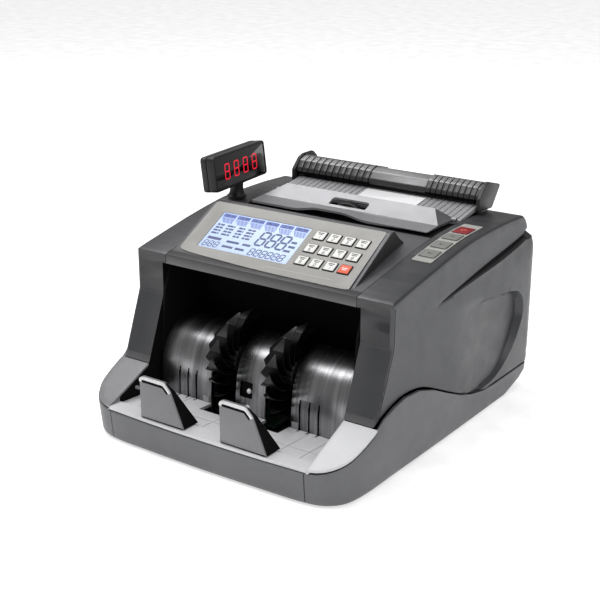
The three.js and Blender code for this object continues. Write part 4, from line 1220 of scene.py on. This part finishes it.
def side_key(name, x, y, outline):
    """A key cap and its mark: an arrow on a grey key and a ring on the red one."""
    cap = side_key_prism(x, y, inset(outline, 0.1), -2.6, 1.15, 0.35)
    if name.endswith("red"):
        slot, paint = "key_red", PAINT["key_orange"]
        ring, hole = circle(2.2, (0, 0), 24), circle(1.6, (0, 0), 24)
        mark = plate(ring, lambda a, b: 1.18, lambda a, b: 1.0, 9.0, [hole])
    else:
        slot, paint = "key_grey", PRINT_AND_SHADE
        mark = extruded([(-2.4, -1.4), (2.2, 0), (-2.4, 1.4), (-1.2, 0)], "z", 1.0, 1.18)
    piece(f"{name}_cap", cap, f"{name}_button", slot, stands_for=[name])
    piece(f"{name}_mark", mark.moved(roof_frame(x, y)), f"{name}_button", slot, paint=paint)


def side_keys():
    """The strip on the right roof edge with its three grey keys and one red key, and the cutters for them."""
    low, high = SIDE_SHEET
    keys = side_key_places()
    edge = rounded(rectangle(low.x, high.x, low.y + 0.2, high.y - 0.2), 1.2)
    holes = [inset(outline, -0.3) for *_, outline in keys]
    sheet = plate(resampled(edge, 5.0), lambda x, y: roof_z(y) + 0.6, lambda x, y: roof_z(y) + 0.12,
                  6.0, holes)
    piece("side_membrane", sheet, "chassis", "overlay", paint=SIDE_SHEET_PRINT, stands_for=["side_overlay"],
          angle=50)
    frames = Shape()
    for name, x, y, outline in keys:
        side_key(name, x, y, outline)
        frames.join(plate(inset(outline, -0.75), lambda a, b: roof_z(b) + 0.68, lambda a, b: roof_z(b) + 0.3,
                          20.0, [inset(outline, -0.31)]))
    piece("side_key_borders", frames, "chassis", "overlay", paint=PRINT_AND_SHADE)
    return [side_key_prism(x, y, inset(outline, -0.35), -12, 8) for _, x, y, outline in keys]


# ---- hood over the feed rollers ----
HOOD_HALF = 80.0
BRIM_REAR = 41
RIDGE = {"half": 68, "y": 57.4, "z": 157.5}
KNOB_MIDDLE = centre("gap_adjust_knob")


def hood_top(x, y):
    """The brim, the light facet that climbs to the ridge, the fall behind it and the hipped ends."""
    brim = 148.6 + (y - 25) * 0.075
    arch = 3.2 * ease(34 - abs(x + 6), 0, 24) * (1 - ease(y, 30, BRIM_REAR))
    facet = 149.8 + (y - BRIM_REAR) * 7.7 / 16.4
    fall = RIDGE["z"] - (y - RIDGE["y"]) * 8.5 / 9.8
    hip = RIDGE["z"] - (abs(x) - RIDGE["half"]) * 0.66
    if y <= BRIM_REAR:
        return brim + arch
    return max(147.4, min(facet, fall, max(hip, 149.6 if y < 48 else 147.4)))


def hood_under(x, y):
    """The underside, which clears the roof by more at the right-hand end."""
    return max(146.9 + 1.1 * ease(x, 30, 66) * (1 - ease(y, 34, 44)), hood_top(x, y) - 1.7)


def hood_creases():
    """The lines along which the hood's top folds, and the arch's rows of points."""
    half, y = RIDGE["half"], RIDGE["y"]
    lines = [[(-79.6, BRIM_REAR), (79.6, BRIM_REAR)], [(-half, y), (half, y)]]
    for way in (-1, 1):
        ridge_end = (way * half, y)
        lines += [[ridge_end, (way * 79.6, 41.4)], [ridge_end, (way * 79.4, 66.8)]]
    return lines + [[(a, b) for a in np.arange(-38, 32, 4.0)] for b in (25.8, 28, 30, 33, 36, 38.5)]


def hood():
    """The silver cover: a curved sheet with the thumbwheel's slot, and the pins that it lifts on."""
    x, y = KNOB_MIDDLE.x, KNOB_MIDDLE.y
    half_long, half_wide = 17.0, 4.0
    slot = rectangle(x - half_long, x + half_long, y - half_wide, y + half_wide)
    hole = rounded(slot, [1.2, 1.2, 3.2, 3.2], 4)
    outline = rounded([(-HOOD_HALF, 25), (HOOD_HALF, 25), (HOOD_HALF, 46), (HOOD_HALF, 67.1),
                       (-HOOD_HALF, 67.1), (-HOOD_HALF, 46)], [1.5, 1.5, 0, 1.5, 1.5, 0])
    shape = plate(resampled(outline, 4.0), hood_top, hood_under, 5.0, [hole], hood_creases())
    item = piece("hood_cover", shape, "hood_body", "silver", stands_for=["hood"], angle=14)
    carve(item, [rod_pair((64, 149.4), 1.6, 79, 83, 0.2, 20)], "UNION")
    tinted(item, BRIM_SILVER, lambda place, normal: place.y < BRIM_REAR)
    # The right end's faces turned to +X take a darker grey: painted shade.
    tinted(item, HIP_SHADE, lambda place, normal: normal.x > 0.35 and place.x > 66)


def knob():
    """The black thumbwheel: a knurled rim and a dished face on each side."""
    low, high = cad("gap_adjust_knob")
    middle = (low + high) / 2
    radius, half = (high.x - low.x) / 2, (high.y - low.y) / 2
    teeth = 48

    def ring(reach, y, knurl):
        points = []
        for i in range(teeth * 2):
            away, turn = reach - knurl * (i % 2), math.pi * i / teeth
            points.append((middle.x + away * math.cos(turn), y, middle.z + away * math.sin(turn)))
        return points

    y0, y1 = middle.y - half, middle.y + half
    rings = [ring(radius * 0.3, y0 + 1.6, 0), ring(radius * 0.72, y0 + 1.2, 0), ring(radius * 0.84, y0, 0),
             ring(radius - 0.8, y0, 0), ring(radius, y0 + 0.8, 0.7), ring(radius, y1 - 0.8, 0.7),
             ring(radius - 0.8, y1, 0), ring(radius * 0.84, y1, 0), ring(radius * 0.72, y1 - 1.2, 0),
             ring(radius * 0.3, y1 - 1.6, 0)]
    piece("thumbwheel", Shape().loft(rings), "gap_adjust_body", "black", stands_for=["gap_adjust_knob"],
          angle=30)


# ---- hopper ramp, centre plate and hopper back ----
CENTRE_PLATE = cad("hopper_center_plate")


def ramp_ribs():
    """Where the thin ribs run on either side of the centre plate."""
    left, right = CENTRE_PLATE[0].x, CENTRE_PLATE[1].x
    return [left - 4 - 5.2 * i for i in range(12)] + [right + 4 + 5.2 * i for i in range(8)]


def ramp():
    line = [(68.6, 148.3), (97, 153.6), (101, 152), (106, 147.7), (114.4, 146.6)]
    half = CENTRE_HALF
    profile = rounded([(68.6, 140.4), *line, (112.6, 144.6), (105, 145), (97, 150.2), (71, 145.6),
                       (71, 140.4)],
                      [0, 1, 1.5, 2, 2, 0.5, 0, 1, 1, 0, 0])
    low, high = CENTRE_PLATE
    bed = slab((low.x - 0.3, high.x + 0.3), (low.y - 0.3, high.y + 0.3), (low.z - 0.2, 160), 0).bent(
        lambda x, y, z: (x, y, z + (y - low.y) * 0.187 if z < 155 else z))
    grooves = [slab((x - 0.45, x + 0.45), (69.5, 99), (0, 12), 0).bent(
        lambda x, y, z: (x, y, 147.75 + (y - 69.5) * 0.187 + z)) for x in ramp_ribs()]
    piece("ramp_plate", extruded(profile, "x", -half, half, 0.3), "chassis", "silver",
          stands_for=["hopper_ramp"],
          cuts=[bed, *grooves])
    crest = rounded([(99.4, 152.4), (100.2, 154.9), (104.6, 155.1), (107.2, 147.2), (104.8, 147.6)], 0.5)
    piece("ramp_crest", extruded(crest, "x", -80.4, 80.4, 0.3), "chassis", "black", bevel=0)
    lugs = Shape()
    for x0, x1 in ((-half, -80.7), (80.7, half)):
        lugs.join(slab((x0, x1), (107.2, 114.8), (146.9, 153.4), 0.3))
    piece("ramp_lugs", lugs, "chassis", "silver", cuts=[rod("x", (111, 150.4), 2.2, -90, 90, 0, 32)])
    strip = slab((low.x + 0.1, high.x - 0.1), (low.y + 0.1, high.y - 0.1), (0, 0.75), 0.2).bent(
        lambda x, y, z: (x, y, z + low.z + (y - low.y) * 0.187))
    piece("ramp_centre", strip, "chassis", "polished", stands_for=["hopper_center_plate"])


BAR_PROFILE = [(95.6, 155.6), (108, 156.2), (117.2, 157.8), (123.6, 165.2), (105.8, 169.8), (98.8, 167.2),
               (93.8, 161.4), (93.4, 157.6)]
SMOOTH_PART = (-12.6, 38.0)


BAR_OUTLINE = rounded(BAR_PROFILE, [2, 1, 1.5, 2.5, 7, 5.4, 5, 2], 9)
RIB_PLACES = [*np.arange(-81.9, SMOOTH_PART[0] - 2, 5.9), *np.arange(SMOOTH_PART[1] + 2.6, 84, 4.9)]
HOPPER_PIVOT = (111, 150.4)


def hopper_bar():
    """The bar's core, fine end ribs and smooth middle sleeve, with painted highlight on top and painted shade
    underneath.
    """
    bar = extruded(inset(BAR_OUTLINE, 0.9), "x", -85, 85, 0.3)
    core = piece("hopper_bar", bar, "hopper_back_body", "black", paint=BAR_BLACK, stands_for=["hopper_back"],
                 angle=30)
    ribs = Shape()
    for x in RIB_PLACES:
        half = 2.6 if x < 0 else 2.15
        ribs.join(extruded(BAR_OUTLINE, "x", x - half, x + half, 0.3))
    ribbing = piece("hopper_ribs", ribs, "hopper_back_body", "black", paint=BAR_BLACK, angle=30)
    middle = extruded(inset(BAR_OUTLINE, 0.6), "x", SMOOTH_PART[0] - 0.4, SMOOTH_PART[1] + 0.2, 0.2)
    sleeve = piece("hopper_sleeve", middle, "hopper_back_body", "black", paint=BAR_BLACK, angle=40)
    # The sleeve's upward faces take a lighter grey: painted sheen.
    tinted(sleeve, BAR_SHINE, lambda place, normal: normal.z > 0.6)
    for item in (core, ribbing):
        # Downward faces take black (painted shade), upward faces a lighter grey (painted highlight).
        tinted(item, SHADOW_BLACK, lambda place, normal: normal.z < 0.1)
        tinted(item, BAR_CREST_HIGHLIGHT, lambda place, normal: normal.z > 0.72)


def hopper_tops():
    """The flat, dimpled strip over the ribs on each side of the smooth middle."""
    tops = Shape()
    for x0, x1 in ((-84.6, SMOOTH_PART[0] - 0.6), (SMOOTH_PART[1] + 0.4, 83.6)):
        tops.join(extruded([(107.6, 168.6), (122.9, 164.6), (123.4, 165.4), (107.8, 169.7)], "x", x0, x1))
    dimples = [rod("z", (x, 111), 0.7, 160, 180, 0, 10) for x in RIB_PLACES]
    piece("hopper_top", tops, "hopper_back_body", "body_grey", paint=BAR_TOP, cuts=dimples)


def hopper_ends():
    """An end cap at each side, the left one with a raised fin, and the pins that the bar tilts on."""
    fin = rounded([(91, 150.2), (112.4, 148.9), (125.3, 165.6), (119, 171.0), (105.5, 170.9), (99.6, 168.6),
                   (91, 160)], [1, 3, 2.5, 3, 1.5, 3, 3], 4)
    flat = rounded([(91, 150.2), (112.4, 148.9), (125.3, 165.4), (105.5, 170.9), (99.6, 168.9), (91, 160)],
                   [1, 3, 2, 1.5, 2, 3], 4)
    piece("hopper_cap_left", extruded(fin, "x", -88, -84.7, 0.7), "hopper_back_body", "black")
    piece("hopper_cap_right", extruded(flat, "x", 84.7, 88, 0.7), "hopper_back_body", "body_grey",
          paint=BAR_CAP)
    piece("hopper_pins", rod_pair(HOPPER_PIVOT, 2.0, 80.9, 85, 0.2, 24), "hopper_back_body", "steel")


# ---- external display ----
def display_case():
    """The external display's case in two halves, the front one with a pocket for the filter."""
    wide, tall, deep = DISPLAY_SIZE
    outline = rounded(rectangle(-wide / 2, wide / 2, -tall / 2, tall / 2), 3.4, 5)

    def half(y0, y1, edges):
        rings = [[(x, y0 + depth, z) for x, z in inset(outline, away)] for away, depth in edges]
        rings += [[(x, y1 - depth, z) for x, z in inset(outline, away)]
                  for away, depth in reversed(edges[1:])]
        return Shape().loft(rings).moved(DISPLAY)

    soft = [(1.1, 0.0), (0.4, 0.25), (0.1, 0.7), (0.0, 1.3)]
    fine = [(0.5, 0.0), (0.15, 0.15), (0.0, 0.5)]
    across, up = wide / 2 - 1.7, tall / 2 - 1.7
    pocket = slab((-across, across), (-2, 1.2), (-up, up), 0, axis="y")
    piece("display_front", half(0, 7.4, soft), "external_display", "black", paint=DISPLAY_BLACK,
          stands_for=["display_housing"], cuts=[pocket.moved(DISPLAY)], angle=40)
    piece("display_back", half(7.5, deep, fine), "external_display", "black", paint=DISPLAY_BLACK, angle=40)


def display_face():
    """The dark filter and the four lit digits."""
    wide, tall, _ = DISPLAY_SIZE
    window = slab((-wide / 2 + 1.8, wide / 2 - 1.8), (0.3, 1.1), (-tall / 2 + 1.8, tall / 2 - 1.8), 0.15,
                  axis="y")
    piece("display_filter", window.moved(DISPLAY), "external_display", "display_filter",
          stands_for=["display_window"])
    digits = Shape()
    for k in range(4):
        figure = digit(8, 6.2, 11.6, 0.95, 0.04)
        digits.join(figure.bent(lambda a, b, c, k=k: (-20.4 + 13.6 * k + a, 0.3 - c * 0.12, b - 0.3)))
    piece("display_digits", digits.moved(DISPLAY), "external_display", "display_filter", paint=RED_LIGHT)


def display_stem():
    """The flared post that the display swivels on, cut clear of the case."""
    low, high = cad("display_post")
    profile = [(7.6, low.z), (7.9, low.z + 0.4), (7.9, low.z + 1.3), (6.6, low.z + 2.2), (5.7, low.z + 4.5),
               (5.3, low.z + 8), (5.6, high.z + 3)]
    clear = slab((-40, 40), (-0.3, 13.5), (-14.3, 14.3), 0).moved(DISPLAY)
    piece("display_stem", turned(centre("display_post").xy, profile, 40), "external_display", "black",
          stands_for=["display_post"], cuts=[clear], angle=50)


# ---- mouth: walls, guides and stacker wheels ----
GUIDE_LINE = [(-84.2, 6.4), (-84.2, 34), (-83, 46), (-80.4, 56), (-76, 64.6), (-69.6, 71), (-61, 75.2),
              (-50, 77)]
GUIDE_THICK = 2.2
STACKER_MIDDLE = centre("stacker_shaft").yz
SLIT_Z = (22.0, 46.0)
SENSOR_WINDOW = {"x": (-9.4, 1.8), "z": (36.0, 48.0)}


def mouth_walls():
    """Black walls in the mouth as painted shadow: one behind each post, and a baffle across the back."""
    outline = [(-94.4, 21), (-58, 21), (-58, MOUTH_TOP + 4), (-72.2, MOUTH_TOP + 4), (-72.2, 100),
               (-73.6, 93.6),
               (-91.6, 47.6), (-94.4, 44)]
    for side, name in ((-1, "left"), (1, "right")):
        wall = extruded(outline, "x", side * (MOUTH_HALF + 0.05), side * (MOUTH_HALF + 1.4))
        piece(f"{name}_mouth_wall", wall, "chassis", "black", paint=SHADOW_BLACK)
    baffle = slab((-CENTRE_HALF + 0.5, CENTRE_HALF - 0.5), (-28, -26.4), (62, 127), 0.3)
    piece("mouth_baffle", baffle, "chassis", "black", paint=SHADOW_BLACK)


def guide(node, slits):
    """A curved cover beside the stacker wheels, with thin slits low down and a rolled edge at each side."""
    low, high = cad(node)
    line = smooth(GUIDE_LINE, 6)
    shape = extruded(band(line, GUIDE_THICK), "x", low.x + 0.1, high.x - 0.1, 0.7)
    cuts = [slab((x - 0.6, x + 0.6), (-92, -78), SLIT_Z, 0.5, axis="y") for x in slits]
    if not slits:
        cuts.append(slab(SENSOR_WINDOW["x"], (-92, -78), SENSOR_WINDOW["z"], 0, 0.8, axis="y"))
    piece(f"{node}_cover", shape, "chassis", "gloss_black", stands_for=[node], cuts=cuts, angle=50)
    lips = Shape()
    for x in slits:
        lips.join(slab((x - 1.5, x - 0.62), (-84.75, -84.0), (SLIT_Z[0] + 0.6, SLIT_Z[1] - 3), 0.25))
    if slits:
        piece(f"{node}_lips", lips, "chassis", "gloss_black")


def sensor():
    """The note sensor behind the centre cover's window, and the lens under it."""
    x0, x1 = SENSOR_WINDOW["x"]
    z0, z1 = SENSOR_WINDOW["z"]
    box = slab((x0 + 0.2, x1 - 0.2), (-81.6, -80.2), (z0 + 0.2, z1 - 0.2), 0.2)
    piece("sensor_board", box, "chassis", "black", paint=SHADOW_BLACK)
    for name, x, z, radius in (("sensor_lens", -2.4, 40.6, 2.0), ("lower_lens", -2.0, 28.4, 2.4)):
        y = -81.6 if name == "sensor_lens" else -84.3
        rings = [[(x + radius * math.cos(turn) * math.cos(t), y - radius * 0.9 * math.sin(turn),
                   z + radius * math.cos(turn) * math.sin(t)) for t in np.linspace(0, 2 * math.pi, 24,
                                                                                   False)]
                 for turn in np.linspace(0, math.pi / 2 * 0.94, 6)]
        piece(name, Shape().loft(rings), "chassis", "key_white", paint=PAINT["polished"], angle=70)
    tabs = Shape()
    for x0, x1 in ((-43, -37.4), (37.4, 43)):
        tabs.join(slab((x0, x1), (-85.2, -84.3), (23.8, 28.6), 0.3))
    piece("guide_tabs", tabs, "chassis", "silver")


FINS = 16
FIN_PHASE = 0.16
FIN_LINE = [(10.2, 0.08), (15, -0.08), (20, -0.26), (24, -0.4), (28, -0.55), (32, -0.68), (35.5, -0.79),
            (37.7, -0.86)]


def stacker_wheel(node):
    """A hub with trailing spiral leaves; each tip is cut slantwise to a point on its right."""
    low, high = cad(node)
    y0, z0 = STACKER_MIDDLE
    line = smooth(FIN_LINE, 3)
    shape = Shape()
    for i in range(FINS):
        start = FIN_PHASE + 2 * math.pi * i / FINS
        rings = []
        for r, turn in line:
            half = 0.7 - 0.4 * (r / 38)
            inner = low.x + 0.4 + (high.x - low.x - 1.6) * max(0.0, (r - 24) / 14)
            spots = []
            for x, side in ((inner, -1), (high.x - 0.4, -1), (high.x - 0.4, 1), (inner, 1)):
                angle = start + turn + side * half / r
                spots.append((x, y0 + r * math.cos(angle), z0 + r * math.sin(angle)))
            rings.append(spots)
        shape.join(Shape().loft(rings))
    item = piece(f"{node}_leaves", shape, "stacker_wheels", "rubber", paint=LEAF_BLACK, stands_for=[node],
                 angle=30)
    # The leaves' outer ends take a lighter, glossier black: painted highlight.
    tinted(item, LEAF_TIP_HIGHLIGHT, lambda place, normal: (place.yz - STACKER_MIDDLE).length > 31)
    hub = rod("x", (y0, z0), 11.0, low.x + 0.2, high.x - 0.2, 0.8, 48)
    bore = rod("x", (y0, z0), 3.2, low.x - 2, high.x + 2, 0, 32)
    piece(f"{node}_hub", hub, "stacker_wheels", "black", cuts=[bore])


# ---- rear and underside ----
INLET = {"x": -58, "z": 46}
SWITCH = {"x": -24, "z": 46}
VENTS = [24 + 6 * i for i in range(9)]


def rear_shell():
    line = smooth([(115.7, 145.6), (122.4, 140.4), (128.1, 127.9), (135.5, 105.2), (138.8, 87.3),
                   (140.6, 64),
                   (140.4, 34), (137.6, REAR_SEAM_Z + 0.2)], 4)
    shape = extruded(band(line, WALL), "x", -CENTRE_HALF, CENTRE_HALF, 0.35)
    cuts = [slab((INLET["x"] - 12.4, INLET["x"] + 12.4), (130, 150), (INLET["z"] - 9.2, INLET["z"] + 9.2),
                 0, 0,
                 axis="y"),
            slab((SWITCH["x"] - 6.3, SWITCH["x"] + 6.3), (130, 150), (SWITCH["z"] - 10, SWITCH["z"] + 10),
                 0, 0,
                 axis="y")]
    cuts += [slab((x, x + 3), (120, 150), (36, 92), 0, 1.45, axis="y") for x in VENTS]
    piece("rear_panel", shape, "chassis", "body_grey", stands_for=["rear_cover"], cuts=cuts, angle=40)
    screws = Shape()
    for x, z, y in ((-76, 30, 140.1), (76, 30, 140.1), (-76, 104, 135.7), (76, 104, 135.7)):
        lean = Matrix.Translation((x, y, z)) @ Matrix.Rotation(0.0 if z < 50 else 0.3, 4, "X")
        screws.join(rod("y", (0, 0), 3.0, -1.0, 0.9, 0.5, 24).moved(lean))
    piece("rear_screws", screws, "chassis", "steel")


FOOT_PROFILE = [(5.6, 0.7), (5.9, 0.0), (7.1, 0.0), (7.7, 0.5), (8.0, 1.4), (8.0, 2.9)]


def foot(node):
    """A round rubber foot with a dished underside."""
    pad = turned(centre(node).xy, FOOT_PROFILE, 32)
    piece(f"{node}_pad", pad, "chassis", "rubber", stands_for=[node], angle=40)


def soften(node, width):
    """Rounds the edges of a CAD node that keeps its own shape."""
    modifier = frame["nodes"][node].modifiers.new("bevel", "BEVEL")
    modifier.width = width * MM
    modifier.segments = 2
    modifier.limit_method = "ANGLE"
    modifier.angle_limit = math.radians(50)


# ---- the machine ----
base_tub()
tray()
note_stop("left_stop", "left_stop_body")
note_stop("right_stop", "right_stop_body")
key_cutters = side_keys()
side_cover(-1, "left_cover", "left_side_cover")
side_cover(1, "right_cover", "right_side_cover", key_cutters)
top_cover()
console()
overlay()
key_caps()
lcd()
hood()
knob()
ramp()
hopper_bar()
hopper_tops()
hopper_ends()
display_case()
display_face()
display_stem()
mouth_walls()
guide("left_guide", (-66, -58, -50))
guide("center_guide", ())
guide("right_guide", (44, 52, 60))
sensor()
stacker_wheel("left_impeller")
stacker_wheel("right_impeller")
rear_shell()
for name in ("foot_front_left", "foot_front_right", "foot_rear_left", "foot_rear_right"):
    foot(name)
for name in ("power_inlet", "power_switch", "motor_pulley"):
    soften(name, 0.4)
for name in ("drive_roller_left", "drive_roller_right", "feed_roller_left", "feed_roller_right"):
    soften(name, 0.6)
